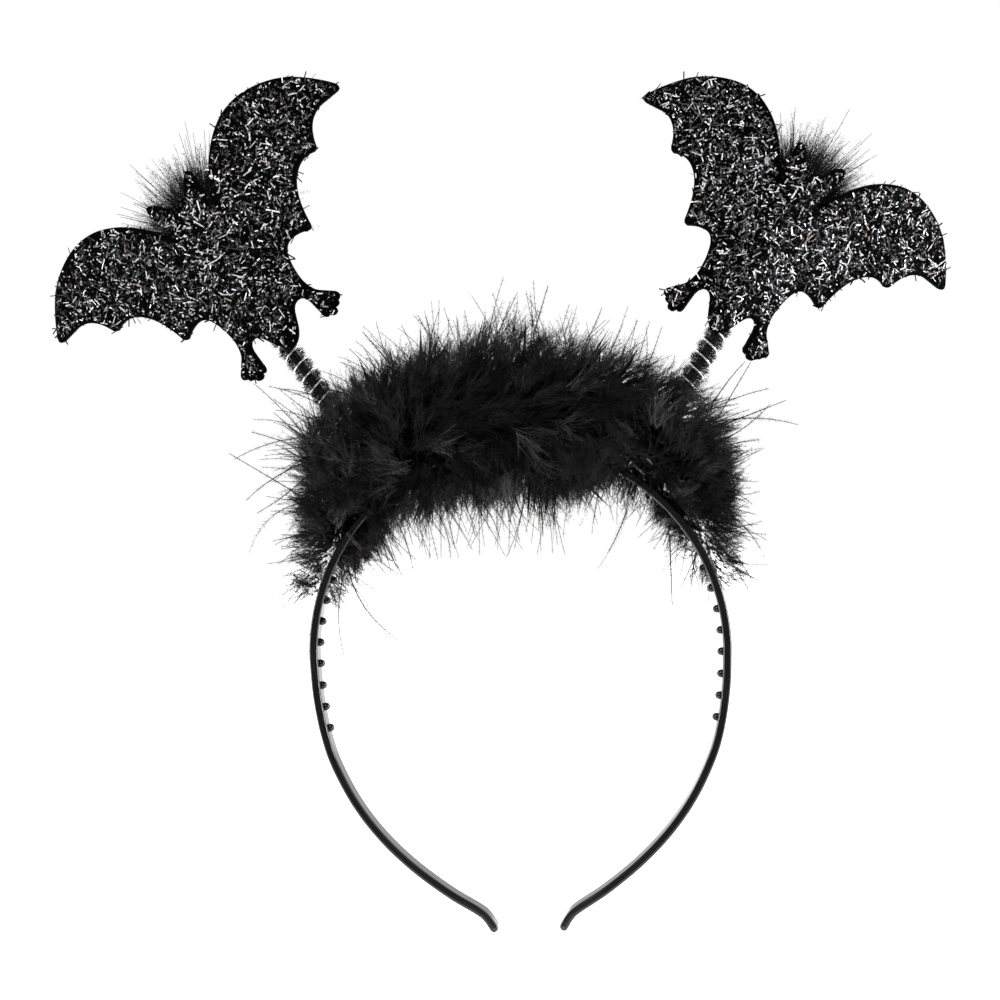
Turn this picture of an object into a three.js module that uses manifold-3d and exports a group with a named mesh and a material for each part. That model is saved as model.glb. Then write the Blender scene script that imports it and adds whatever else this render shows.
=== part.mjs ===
// Bat headband: a springy plastic band with a feather boa round its crown and two glitter
// bats that stand on coil springs. Millimetres, +Z up, +X the viewer's right, +Y to the back.
// The origin is the middle of the band's inner face at the crown, where it sits on a head.
import * as THREE from 'three';
import { mergeVertices } from 'three/addons/utils/BufferGeometryUtils.js';
import Module from 'manifold-3d';

const wasm = await Module();
wasm.setup();

// Clearance between pieces that lie against each other
const GAP = 0.3;

// Band: round over the crown, drawn in below the ears, open between its two tips
const BAND_RADIUS = 65;
const BAND_DROP = 85.6;
const BAND_THICKNESS = 2.6;
const BAND_CROWN_DEPTH = 9;
const BAND_TIP_DEPTH = 7.5;
const BAND_CHAMFER = 0.7;
const BAND_ARC_STEPS = 14;
const BAND_LEG_STEPS = 18;
const TIP_ROUNDING = [30, 60, 80];

// Teeth on the band's inner face, counted up from the lowest on each leg
const TEETH_PER_LEG = 8;
const TOOTH_PITCH = 6.9;
const TOOTH_LOWEST = 22.8;
const TOOTH_RADIUS = 1.25;
const TOOTH_HEIGHT = 1.7;
const TOOTH_SHOULDER = 0.72;
const TOOTH_SIDES = 7;

// Feather boa: reach of its body out from, in from and beside the band's outer face
const BOA_HALF_SWEEP = 66;
const BOA_REACH_OUT = 27;
const BOA_REACH_IN = 17;
const BOA_HALF_DEPTH = 20;
const BOA_RINGS = 26;
const BOA_SIDES = 12;
const BOA_LOCKS = 84;
const BOA_LOCKED_SHARE = 0.93;
const BOA_LOCK_LENGTH = 12.5;
const BOA_LOCK_RADIUS = 4;
const END_LOCK_LENGTH_SHARE = 0.7;
const END_LOCK_RADIUS_SHARE = 0.55;
const BOA_LOCK_VARIATION = 0.25;
const BOA_LOCK_LEAN = 0.45;
const BOA_LOCK_BEND = 0.3;

// Stems: steel wire coiled round a core of cut pile
const WIRE_RADIUS = 0.325;
const COIL_RADIUS = 2.87;
const COIL_PITCH = 4.4;
const COIL_STEPS = 9;
const WIRE_SIDES = 5;
const PILE_RADIUS = 2.15;
const PILE_SIDES = 12;
const STEM_FREE_LENGTH = 50;
const STEM_BEHIND_BAT = 18;

// Bats: glitter plates, from tail end to wing tops and from middle to wing tip
const BAT_HALF_SPAN = 61.5;
const BAT_HEIGHT = 72;
const BAT_THICKNESS = 2.5;
const BAT_CURVE_STEPS = 2;

// Tufts: feather pompoms behind the bats' heads
const TUFT_HEIGHT = 44;
const TUFT_RADIUS = 4.4;
const TUFT_LOCKS = 17;
const TUFT_SPREAD = 112;
const TUFT_LOCK_LENGTH = 25;
const TUFT_LOCK_RADIUS = 3;
const TUFT_LOCK_VARIATION = 0.16;
const TUFT_LEAST_RISE = 0.12;
const TUFT_RISE_RANGE = 0.5;
const TUFT_LOCK_BEND = 0.1;

// Locks: a horn's corners, and where its middle ring lies and how thick it is there
const LOCK_SIDES = 5;
const LOCK_MIDDLE_SHARE = 0.55;
const LOCK_MIDDLE_WIDTH = 0.66;

// One row a side: where the stem stands on the band and how far it leans out, in degrees from
// upright, then its length up to the bat's tail as a share of the free length, and how the bat is
// set on it: moved to the viewer's right by a share of its half span, turned round the stem,
// tilted against it, and its wings folded back
const SIDES = [
  {
    name: 'left', sign: -1, foot: 36.8, lean: 33.9, free: 1.026,
    shift: 0.0585, turn: -8.1, tilt: -4, fold: 9.3,
  },
  {
    name: 'right', sign: 1, foot: 35.3, lean: 31.8, free: 0.972,
    shift: -0.0293, turn: 4.4, tilt: 2.5, fold: 23.7,
  },
];

// Outer face of a leg below the widest point: drop as a share of the drop, half width of the radius
const LEG_PROFILE = [
  { drop: 0.107, width: 0.993 },
  { drop: 0.193, width: 0.98 },
  { drop: 0.279, width: 0.959 },
  { drop: 0.365, width: 0.928 },
  { drop: 0.45, width: 0.881 },
  { drop: 0.536, width: 0.821 },
  { drop: 0.621, width: 0.745 },
  { drop: 0.707, width: 0.648 },
  { drop: 0.794, width: 0.525 },
  { drop: 0.879, width: 0.378 },
  { drop: 0.94, width: 0.25 },
  { drop: 0.965, width: 0.212 },
  { drop: 1, width: 0.182 },
];

// Boa body by place along its sweep, each reach as a share of the boa's own reach
const BOA_PROFILE = [
  { along: -1, out: 0.2, inward: 0.36, depth: 0.36 },
  { along: -0.88, out: 0.3, inward: 0.48, depth: 0.5 },
  { along: -0.76, out: 0.62, inward: 0.56, depth: 0.74 },
  { along: -0.6, out: 0.93, inward: 0.7, depth: 0.9 },
  { along: -0.38, out: 1, inward: 0.88, depth: 1 },
  { along: -0.12, out: 1, inward: 1, depth: 1 },
  { along: 0.12, out: 0.93, inward: 1, depth: 0.98 },
  { along: 0.34, out: 0.9, inward: 0.76, depth: 0.95 },
  { along: 0.5, out: 0.97, inward: 0.54, depth: 0.9 },
  { along: 0.64, out: 0.85, inward: 0.44, depth: 0.8 },
  { along: 0.76, out: 0.52, inward: 0.42, depth: 0.62 },
  { along: 0.88, out: 0.3, inward: 0.42, depth: 0.46 },
  { along: 1, out: 0.2, inward: 0.36, depth: 0.36 },
];

// Right half of a bat from tail to head: across as a share of the half span, up of the height.
// A row with a bend is a curve that leans on that point, and one without is a straight edge.
const BAT_OUTLINE = [
  { part: 'tail end', bend: [0.043, 0.004], to: [0.077, 0.055] },
  { part: 'tail side', to: [0.107, 0.107] },
  { part: 'crotch', bend: [0.127, 0.141], to: [0.16, 0.142] },
  { part: 'crotch', bend: [0.192, 0.142], to: [0.2, 0.101] },
  { part: 'shin', to: [0.205, 0.04] },
  { part: 'inner toe', bend: [0.203, 0.004], to: [0.227, 0.003] },
  { part: 'inner toe', to: [0.238, 0.01] },
  { part: 'middle toe', bend: [0.243, -0.013], to: [0.267, -0.009] },
  { part: 'middle toe', bend: [0.285, -0.006], to: [0.283, 0.014] },
  { part: 'outer toe', bend: [0.315, 0.011], to: [0.315, 0.031] },
  { part: 'heel', bend: [0.353, 0.04], to: [0.333, 0.067] },
  { part: 'heel', to: [0.273, 0.116] },
  { part: 'leg', bend: [0.245, 0.141], to: [0.24, 0.2] },
  { part: 'hip', bend: [0.242, 0.269], to: [0.265, 0.317] },
  { part: 'inner scallop', bend: [0.287, 0.364], to: [0.343, 0.363] },
  { part: 'inner scallop', to: [0.427, 0.342] },
  { part: 'inner point', bend: [0.447, 0.339], to: [0.453, 0.361] },
  { part: 'middle scallop', bend: [0.493, 0.552], to: [0.617, 0.589] },
  { part: 'middle scallop', to: [0.7, 0.586] },
  { part: 'outer point', bend: [0.72, 0.587], to: [0.727, 0.607] },
  { part: 'outer scallop', bend: [0.77, 0.712], to: [0.873, 0.723] },
  { part: 'outer scallop', to: [0.98, 0.722] },
  { part: 'wing tip', bend: [1.01, 0.724], to: [1, 0.749] },
  { part: 'wing edge', bend: [0.94, 0.83], to: [0.843, 0.903] },
  { part: 'wing top', bend: [0.745, 0.965], to: [0.623, 0.982] },
  { part: 'wing top', bend: [0.533, 0.994], to: [0.443, 0.965] },
  { part: 'shoulder', bend: [0.335, 0.925], to: [0.257, 0.845] },
  { part: 'neck', bend: [0.207, 0.798], to: [0.143, 0.701] },
  { part: 'neck', bend: [0.122, 0.665], to: [0.12, 0.697] },
  { part: 'cheek', bend: [0.143, 0.765], to: [0.158, 0.83] },
  { part: 'ear tip', bend: [0.163, 0.885], to: [0.133, 0.877] },
  { part: 'inner ear', bend: [0.103, 0.868], to: [0.08, 0.832] },
  { part: 'brow', bend: [0.053, 0.8], to: [0, 0.79] },
];

const BACKWARD = new THREE.Vector3(0, 1, 0);
const DOWN = new THREE.Vector3(0, 0, -1);
const CENTRE = new THREE.Vector3(0, 0, BAND_THICKNESS - BAND_RADIUS);
const STEM_RADIUS = COIL_RADIUS + WIRE_RADIUS;
const GOLDEN_ANGLE = Math.PI * (3 - Math.sqrt(5));

const radians = THREE.MathUtils.degToRad;
const lerp = THREE.MathUtils.lerp;

// Direction in the band's plane at an angle from upright, positive to the right
function radial(angle) {
  return new THREE.Vector3(Math.sin(angle), 0, Math.cos(angle));
}

// Point at a chosen offset from a base along a direction
function offset(base, direction, distance) {
  return base.clone().addScaledVector(direction, distance);
}

// Value of one column of a table between its rows, eased so that it has no corners
function tableValue(table, key, column, place) {
  const next = Math.max(1, table.findIndex((row) => row[key] >= place));
  const [a, b] = [table[next - 1], table[next]];
  const share = (place - a[key]) / (b[key] - a[key]);
  return lerp(a[column], b[column], (1 - Math.cos(Math.PI * share)) / 2);
}

// Closed body through rings of equal count, each end closed round its middle or a tip
function loft(rings, tip = null) {
  const count = rings[0].length;
  const points = rings.flat();
  const middle = (ring) => {
    const sum = ring.reduce((total, point) => total.add(point), new THREE.Vector3());
    return sum.divideScalar(count);
  };
  points.push(middle(rings[0]), tip ?? middle(rings[rings.length - 1]));
  const faces = [];
  for (let side = 0; side < count; side += 1) {
    const next = (side + 1) % count;
    for (let ring = 0; ring + 1 < rings.length; ring += 1) {
      const [low, high] = [ring * count, (ring + 1) * count];
      faces.push([low + side, low + next, high + next], [low + side, high + next, high + side]);
    }
    const last = (rings.length - 1) * count;
    faces.push([points.length - 2, next, side], [points.length - 1, last + side, last + next]);
  }
  const volume = faces.reduce((total, [a, b, c]) => {
    return total + points[a].dot(new THREE.Vector3().crossVectors(points[b], points[c]));
  }, 0);
  if (volume < 0) faces.forEach((face) => face.reverse());
  const geometry = new THREE.BufferGeometry().setFromPoints(points);
  geometry.setIndex(faces.flat());
  return geometry;
}

// Geometry to a solid that can be joined and cut, and back again
function toSolid(geometry) {
  const bare = geometry.clone();
  bare.deleteAttribute('normal');
  bare.deleteAttribute('uv');
  const merged = mergeVertices(bare);
  return new wasm.Manifold(new wasm.Mesh({
    numProp: 3,
    vertProperties: new Float32Array(merged.getAttribute('position').array),
    triVerts: new Uint32Array(merged.getIndex().array),
  }));
}

function toGeometry(solid) {
  const mesh = solid.getMesh();
  const geometry = new THREE.BufferGeometry();
  geometry.setAttribute('position', new THREE.BufferAttribute(mesh.vertProperties, 3));
  geometry.setIndex(new THREE.BufferAttribute(mesh.triVerts, 1));
  return geometry;
}

function piece(name, geometry, finish) {
  geometry.computeVertexNormals();
  const mesh = new THREE.Mesh(geometry, new THREE.MeshStandardMaterial(finish));
  mesh.name = name;
  return mesh;
}

const FINISHES = {
  plastic: { color: 0x0b0b0d, roughness: 0.2, metalness: 0 },
  feather: { color: 0x121110, roughness: 0.95, metalness: 0 },
  steel: { color: 0xb4b6ba, roughness: 0.3, metalness: 1 },
  pile: { color: 0x151414, roughness: 1, metalness: 0 },
  glitter: { color: 0x3a3a3d, roughness: 0.35, metalness: 0.6 },
};

// Sections of the right half of the band, from the crown to the tip: a point of the outer
// face, the direction in to the head, and how far along the half the section lies
function halfBandSections() {
  const sections = [];
  for (let step = 0; step <= BAND_ARC_STEPS; step += 1) {
    const outward = radial((Math.PI / 2) * (step / BAND_ARC_STEPS));
    sections.push({ point: offset(CENTRE, outward, BAND_RADIUS), inward: outward.negate() });
  }
  const legPoints = [new THREE.Vector2(1, 0)];
  LEG_PROFILE.forEach(({ drop, width }) => legPoints.push(new THREE.Vector2(width, drop)));
  const leg = new THREE.SplineCurve(legPoints);
  for (let step = 1; step <= BAND_LEG_STEPS; step += 1) {
    const share = leg.getPoint(step / BAND_LEG_STEPS);
    const slope = leg.getTangent(step / BAND_LEG_STEPS);
    const point = new THREE.Vector3(share.x * BAND_RADIUS, 0, CENTRE.z - share.y * BAND_DROP);
    const inward = new THREE.Vector3(-slope.y * BAND_DROP, 0, -slope.x * BAND_RADIUS);
    sections.push({ point, inward: inward.normalize() });
  }
  return sections;
}

// Both halves in one run from the left tip over the crown to the right tip
function bandSections() {
  const right = halfBandSections();
  const last = right.length - 1;
  right.forEach((section, step) => {
    section.depth = lerp(BAND_CROWN_DEPTH, BAND_TIP_DEPTH, step / last);
  });
  const flip = new THREE.Vector3(-1, 1, 1);
  const left = right.slice(1).reverse().map(({ point, inward, depth }) => ({
    point: point.clone().multiply(flip),
    inward: inward.clone().multiply(flip),
    depth,
  }));
  return [...left, ...right];
}

// Ring of a bevelled rectangle, grown on all sides, and scaled down towards a rounded tip
function bandRing({ point, inward, depth }, grow, scale = 1) {
  const middle = offset(point, inward, BAND_THICKNESS / 2);
  const halfThickness = (BAND_THICKNESS / 2) * scale + grow;
  const halfDepth = (depth / 2 - BAND_THICKNESS / 2) + (BAND_THICKNESS / 2) * scale + grow;
  const chamfer = BAND_CHAMFER * scale;
  const corners = [
    [halfThickness, halfDepth - chamfer], [halfThickness - chamfer, halfDepth],
    [chamfer - halfThickness, halfDepth], [-halfThickness, halfDepth - chamfer],
    [-halfThickness, chamfer - halfDepth], [chamfer - halfThickness, -halfDepth],
    [halfThickness - chamfer, -halfDepth], [halfThickness, chamfer - halfDepth],
  ];
  return corners.map(([across, back]) => offset(offset(middle, inward, across), BACKWARD, back));
}

// Round end beyond a tip: the section moved on along the leg and made smaller
function tipRings(section, beyond, grow) {
  const onward = section.point.clone().sub(beyond.point).normalize();
  return TIP_ROUNDING.map((degrees) => {
    const angle = radians(degrees);
    const point = offset(section.point, onward, (BAND_THICKNESS / 2) * Math.sin(angle));
    return bandRing({ ...section, point }, grow, Math.cos(angle));
  });
}

function bandBody(grow = 0) {
  const sections = bandSections();
  const last = sections.length - 1;
  const rings = sections.map((section) => bandRing(section, grow));
  const leftTip = tipRings(sections[0], sections[1], grow).reverse();
  const rightTip = tipRings(sections[last], sections[last - 1], grow);
  return toSolid(loft([...leftTip, ...rings, ...rightTip]));
}

// Place on the band's inner face at a length measured down from the widest point
function innerFaceAt(length) {
  if (length <= 0) {
    const outward = radial(Math.PI / 2 + length / BAND_RADIUS);
    const inward = outward.clone().negate();
    return { point: offset(CENTRE, outward, BAND_RADIUS - BAND_THICKNESS), inward };
  }
  const leg = halfBandSections().slice(BAND_ARC_STEPS);
  const stretch = (step) => leg[step].point.distanceTo(leg[step + 1].point);
  let [step, left] = [0, length];
  while (left > stretch(step) && step + 2 < leg.length) {
    left -= stretch(step);
    step += 1;
  }
  const share = left / stretch(step);
  const inward = leg[step].inward.clone().lerp(leg[step + 1].inward, share).normalize();
  const outer = leg[step].point.clone().lerp(leg[step + 1].point, share);
  return { point: offset(outer, inward, BAND_THICKNESS), inward };
}

// A tooth is a round peg with a domed end, sunk into the wall that it stands on
function toothGeometry(grow) {
  const radius = TOOTH_RADIUS + grow;
  const height = TOOTH_HEIGHT + grow;
  const profile = [
    [0, -BAND_THICKNESS / 2], [radius, -BAND_THICKNESS / 2], [radius, 0],
    [radius * TOOTH_SHOULDER, height * TOOTH_SHOULDER], [0, height],
  ];
  return new THREE.LatheGeometry(profile.map(([x, y]) => new THREE.Vector2(x, y)), TOOTH_SIDES);
}

function teeth(grow = 0) {
  const solids = [];
  for (let index = 0; index < TEETH_PER_LEG; index += 1) {
    const place = innerFaceAt(TOOTH_LOWEST - index * TOOTH_PITCH);
    SIDES.forEach(({ sign }) => {
      const flip = new THREE.Vector3(sign, 1, 1);
      const turn = new THREE.Quaternion();
      turn.setFromUnitVectors(BACKWARD, place.inward.clone().multiply(flip));
      const geometry = toothGeometry(grow).applyQuaternion(turn);
      solids.push(toSolid(geometry.translate(...place.point.clone().multiply(flip).toArray())));
    });
  }
  return solids;
}

function joined(solids) {
  return wasm.Manifold.union(solids);
}

function buildBand() {
  return piece('band', toGeometry(joined([bandBody(), ...teeth()])), FINISHES.plastic);
}

// Foot of a stem on the band, and the direction that the stem stands in
function stemLine({ sign, foot, lean }) {
  const outward = radial(sign * radians(foot));
  const along = radial(sign * radians(lean));
  const lift = GAP + STEM_RADIUS * Math.abs(Math.sin(radians(foot - lean)));
  return { base: offset(offset(CENTRE, outward, BAND_RADIUS), along, lift), along };
}

function freeLength({ free }) {
  return free * STEM_FREE_LENGTH;
}

function stemLength(side) {
  return freeLength(side) + STEM_BEHIND_BAT;
}

// How far a bat's middle line lies to the viewer's right of its stem
function batShift({ shift }) {
  return shift * BAT_HALF_SPAN;
}

function buildPile(side) {
  const length = stemLength(side);
  const geometry = new THREE.CylinderGeometry(PILE_RADIUS, PILE_RADIUS, length, PILE_SIDES);
  geometry.rotateX(Math.PI / 2).translate(0, 0, length / 2);
  return piece(`stem_pile_${side.name}`, geometry, FINISHES.pile);
}

class Helix extends THREE.Curve {
  constructor(radius, length, turns, hand) {
    super();
    Object.assign(this, { radius, length, turns, hand });
  }

  getPoint(share, target = new THREE.Vector3()) {
    const angle = this.hand * 2 * Math.PI * this.turns * share;
    const height = this.length * share;
    return target.set(this.radius * Math.cos(angle), this.radius * Math.sin(angle), height);
  }
}

// The two springs are wound the opposite way to each other
function buildSpring(side) {
  const length = stemLength(side) - 2 * WIRE_RADIUS;
  const turns = Math.round(length / COIL_PITCH);
  const section = [];
  for (let corner = 0; corner < WIRE_SIDES; corner += 1) {
    const angle = (2 * Math.PI * corner) / WIRE_SIDES;
    section.push(new THREE.Vector2(Math.cos(angle), Math.sin(angle)).multiplyScalar(WIRE_RADIUS));
  }
  const geometry = new THREE.ExtrudeGeometry(new THREE.Shape(section), {
    steps: turns * COIL_STEPS,
    extrudePath: new Helix(COIL_RADIUS, length, turns, -side.sign),
  });
  geometry.translate(0, 0, WIRE_RADIUS);
  return piece(`spring_${side.name}`, geometry, FINISHES.steel);
}

// Clearance round a stem, from inside the band out past its top
function stemClearance(side) {
  const radius = STEM_RADIUS + GAP;
  const below = BAND_THICKNESS;
  const length = stemLength(side) + below;
  const geometry = new THREE.CylinderGeometry(radius, radius, length, PILE_SIDES);
  geometry.rotateX(Math.PI / 2).translate(0, 0, length / 2 - below);
  const { base } = stemLine(side);
  geometry.rotateY(side.sign * radians(side.lean)).translate(base.x, base.y, base.z);
  return toSolid(geometry);
}

// Boa body at a place along its sweep: point of the band's outer face, centre and half sizes
function boaSection(along) {
  const outward = radial(radians(BOA_HALF_SWEEP) * along);
  const out = BOA_REACH_OUT * tableValue(BOA_PROFILE, 'along', 'out', along);
  const inward = BOA_REACH_IN * tableValue(BOA_PROFILE, 'along', 'inward', along);
  const depth = BOA_HALF_DEPTH * tableValue(BOA_PROFILE, 'along', 'depth', along);
  const centre = offset(CENTRE, outward, BAND_RADIUS + (out - inward) / 2);
  return { outward, centre, halfReach: (out + inward) / 2, halfDepth: depth };
}

// Point of the boa body's surface, where turn runs round the section from the outer side
function boaPoint({ outward, centre, halfReach, halfDepth }, turn) {
  const point = offset(centre, outward, halfReach * Math.cos(turn));
  return offset(point, BACKWARD, halfDepth * Math.sin(turn));
}

function boaBody() {
  const rings = [];
  for (let step = 0; step <= BOA_RINGS; step += 1) {
    const section = boaSection((2 * step) / BOA_RINGS - 1);
    const ring = [];
    for (let side = 0; side < BOA_SIDES; side += 1) {
      ring.push(boaPoint(section, (2 * Math.PI * side) / BOA_SIDES));
    }
    rings.push(ring);
  }
  return toSolid(loft(rings));
}

// A lock is a tapered horn that bends from its first direction towards another
function lockGeometry({ root, direction, bend, length, radius }) {
  const across = new THREE.Vector3().crossVectors(direction, BACKWARD);
  if (across.length() < 0.1) across.crossVectors(direction, DOWN);
  across.normalize();
  const other = new THREE.Vector3().crossVectors(direction, across).normalize();
  const at = (share) => offset(offset(root, direction, length * share), bend, length * share ** 2);
  const rings = [[0, 1], [LOCK_MIDDLE_SHARE, LOCK_MIDDLE_WIDTH]].map(([share, width]) => {
    const ring = [];
    for (let corner = 0; corner < LOCK_SIDES; corner += 1) {
      const angle = (2 * Math.PI * corner) / LOCK_SIDES;
      const point = offset(at(share), across, radius * width * Math.cos(angle));
      ring.push(offset(point, other, radius * width * Math.sin(angle)));
    }
    return ring;
  });
  return loft(rings, at(1));
}

// Shortest distance from a point to a side's stem
function distanceToStem(point, side) {
  const { base, along } = stemLine(side);
  const end = offset(base, along, stemLength(side));
  const near = new THREE.Line3(base, end).closestPointToPoint(point, true, new THREE.Vector3());
  return near.distanceTo(point);
}

// Locks spread evenly over the boa by the golden angle, parted where the stems pass through
function boaLocks() {
  const locks = [];
  for (let index = 0; index < BOA_LOCKS; index += 1) {
    const along = BOA_LOCKED_SHARE * ((2 * (index + 0.5)) / BOA_LOCKS - 1);
    const turn = index * GOLDEN_ANGLE;
    const section = boaSection(along);
    const surface = boaPoint(section, turn);
    const tangent = new THREE.Vector3(section.outward.z, 0, -section.outward.x);
    const size = section.halfReach / ((BOA_REACH_OUT + BOA_REACH_IN) / 2);
    const radius = BOA_LOCK_RADIUS * lerp(END_LOCK_RADIUS_SHARE, 1, size);
    const full = BOA_LOCK_LENGTH * lerp(END_LOCK_LENGTH_SHARE, 1, size);
    const length = full * (1 + BOA_LOCK_VARIATION * Math.sin(index * 7.3));
    const outward = surface.clone().sub(section.centre).normalize();
    const lean = BOA_LOCK_LEAN * Math.sin(index * 4.1);
    const direction = offset(outward, tangent, lean).normalize();
    const lock = {
      root: offset(surface, direction, -radius),
      direction,
      bend: tangent.multiplyScalar(BOA_LOCK_BEND * Math.cos(index * 2.7)),
      length: length + radius,
      radius,
    };
    const room = STEM_RADIUS + GAP + radius;
    const middle = offset(surface, direction, length / 2);
    const blocked = SIDES.some((side) => {
      return distanceToStem(surface, side) < room || distanceToStem(middle, side) < room;
    });
    if (!blocked) locks.push(toSolid(lockGeometry(lock)));
  }
  return locks;
}

function buildBoa() {
  const feathers = joined([boaBody(), ...boaLocks()]);
  const cut = joined([bandBody(GAP), ...teeth(GAP), ...SIDES.map(stemClearance)]);
  return piece('feather_boa', toGeometry(feathers.subtract(cut)), FINISHES.feather);
}

// Back of the fold line between a bat's wings, far enough forward for both to clear the stem
function foldLineBack(side) {
  const tilted = STEM_BEHIND_BAT * Math.abs(Math.sin(radians(side.tilt)));
  const aside = Math.abs(batShift(side)) + tilted;
  const room = STEM_RADIUS + GAP + aside * Math.sin(radians(side.fold));
  return -room / Math.cos(radians(side.fold));
}

// One half of a bat in its own upright frame, folded back about the front of its middle line
function batHalf(sign, { fold }) {
  const scaled = ([across, up]) => [sign * across * BAT_HALF_SPAN, up * BAT_HEIGHT];
  const shape = new THREE.Shape();
  shape.moveTo(0, 0);
  BAT_OUTLINE.forEach(({ bend, to }) => {
    if (bend) shape.quadraticCurveTo(...scaled(bend), ...scaled(to));
    else shape.lineTo(...scaled(to));
  });
  const geometry = new THREE.ExtrudeGeometry(shape, {
    depth: BAT_THICKNESS,
    curveSegments: BAT_CURVE_STEPS,
    bevelEnabled: false,
  });
  geometry.rotateX(Math.PI / 2).translate(0, BAT_THICKNESS, 0);
  return toSolid(geometry.rotateZ(sign * radians(fold)));
}

function buildBat(side) {
  const geometry = toGeometry(joined([batHalf(1, side), batHalf(-1, side)]));
  const thickness = BAT_THICKNESS / Math.cos(radians(side.fold));
  geometry.translate(0, foldLineBack(side) - thickness, 0);
  return piece(`bat_${side.name}`, geometry, FINISHES.glitter);
}

// Tuft in the bat's own upright frame: a round head that nestles between the folded wings,
// with locks fanned out above and beside it
function buildTuft(side) {
  const fold = radians(side.fold);
  const back = foldLineBack(side) + (TUFT_RADIUS + GAP) / Math.cos(fold);
  const centre = new THREE.Vector3(0, back, TUFT_HEIGHT);
  const head = new THREE.IcosahedronGeometry(TUFT_RADIUS, 1);
  const locks = [];
  for (let index = 0; index < TUFT_LOCKS; index += 1) {
    const spread = (2 * (index + 0.5)) / TUFT_LOCKS - 1;
    const fan = radial(radians(TUFT_SPREAD) * spread);
    const swing = TUFT_LEAST_RISE + TUFT_RISE_RANGE * Math.abs(Math.sin(index * GOLDEN_ANGLE));
    const rise = swing + Math.tan(fold) * Math.abs(fan.x);
    const direction = offset(fan, BACKWARD, rise).normalize();
    const length = TUFT_LOCK_LENGTH * (1 + TUFT_LOCK_VARIATION * Math.sin(index * 5.1));
    locks.push(toSolid(lockGeometry({
      root: centre,
      direction,
      bend: BACKWARD.clone().multiplyScalar(TUFT_LOCK_BEND),
      length,
      radius: TUFT_LOCK_RADIUS,
    })));
  }
  head.translate(centre.x, centre.y, centre.z);
  const geometry = toGeometry(joined([toSolid(head), ...locks]));
  return piece(`tuft_${side.name}`, geometry, FINISHES.feather);
}

// A bat and its tuft, tilted about the tail end and turned together round the stem
function buildBatGroup(side) {
  const tilted = new THREE.Group();
  tilted.position.x = batShift(side);
  tilted.rotation.y = radians(side.tilt);
  tilted.add(buildBat(side), buildTuft(side));
  const turned = new THREE.Group();
  turned.position.z = freeLength(side);
  turned.rotation.z = radians(side.turn);
  turned.add(tilted);
  return turned;
}

// Everything that one stem carries, in a frame that stands on the band with the stem upright
function buildStemGroup(side) {
  const group = new THREE.Group();
  group.position.copy(stemLine(side).base);
  group.rotation.y = side.sign * radians(side.lean);
  group.add(buildSpring(side), buildPile(side), buildBatGroup(side));
  return group;
}

const headband = new THREE.Group();
headband.add(buildBand(), buildBoa());
SIDES.forEach((side) => headband.add(buildStemGroup(side)));

export default headband;
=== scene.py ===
"""Bat headband, dressed: glossy band, feather boa, tinselled bats on piled springs, feather tufts.

Metres, +Z up, +X the viewer's right, +Y to the back, origin under the band's crown.
"""
import math

import bpy
import numpy as np
from mathutils import Matrix, Vector
from mathutils.geometry import tessellate_polygon


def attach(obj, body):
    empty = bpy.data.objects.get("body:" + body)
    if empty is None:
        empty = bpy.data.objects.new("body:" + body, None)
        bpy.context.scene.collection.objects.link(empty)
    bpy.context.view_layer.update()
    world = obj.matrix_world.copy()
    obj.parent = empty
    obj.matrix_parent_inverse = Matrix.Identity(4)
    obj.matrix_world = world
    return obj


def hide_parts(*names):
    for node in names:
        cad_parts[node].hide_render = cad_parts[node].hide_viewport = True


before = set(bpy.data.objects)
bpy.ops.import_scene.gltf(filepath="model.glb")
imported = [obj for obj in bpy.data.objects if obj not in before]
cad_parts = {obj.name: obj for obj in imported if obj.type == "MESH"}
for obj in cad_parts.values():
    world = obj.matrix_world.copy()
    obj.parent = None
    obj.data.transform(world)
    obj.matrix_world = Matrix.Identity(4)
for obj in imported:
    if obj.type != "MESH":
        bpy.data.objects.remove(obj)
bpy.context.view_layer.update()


def table(columns, rows):
    """Rows of values under the names of their columns."""
    return [dict(zip(columns, row)) for row in rows]


# Camera, fitted to the band's outline in the photograph
CAMERA_LENS = 70.0
CAMERA_SENSOR = 36.0
CAMERA_DISTANCE = 0.6009
CAMERA_AZIMUTH = math.radians(3.43)
CAMERA_ROLL = math.radians(2.0)
CAMERA_TARGET = Vector((-0.00449, 0.0, -0.0156))

# Studio
FLOOR_HEIGHT = -0.21
FLOOR_SIZE = 12.0
FLOOR_FRONT = 0.25
FLOOR_GLOW = 0.95
STUDIO_FRONT_LIGHT = 0.2
STUDIO_BACK_LIGHT = 0.9
STUDIO_FRONT_END = -0.1
STUDIO_BACK_END = 0.5

# Lamps aimed at the origin, with their power in watts
LIGHTS = table(("name", "place", "size", "power"), [
    ("key", (-0.35, -1.1, 0.8), (0.6, 0.6), 8.5),
    ("fill", (0.9, -0.8, 0.35), (0.5, 0.8), 1.5),
    ("rim_left", (-0.9, 0.5, 0.4), (0.4, 0.9), 5),
    ("rim_right", (0.9, 0.5, 0.4), (0.4, 0.9), 5),
    ("side_left", (-1.2, -0.2, -0.05), (0.2, 0.6), 8),
    ("side_right", (1.2, -0.2, -0.05), (0.2, 0.6), 16),
    ("top", (0.0, 0.1, 1.1), (0.9, 0.6), 6),
])

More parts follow.
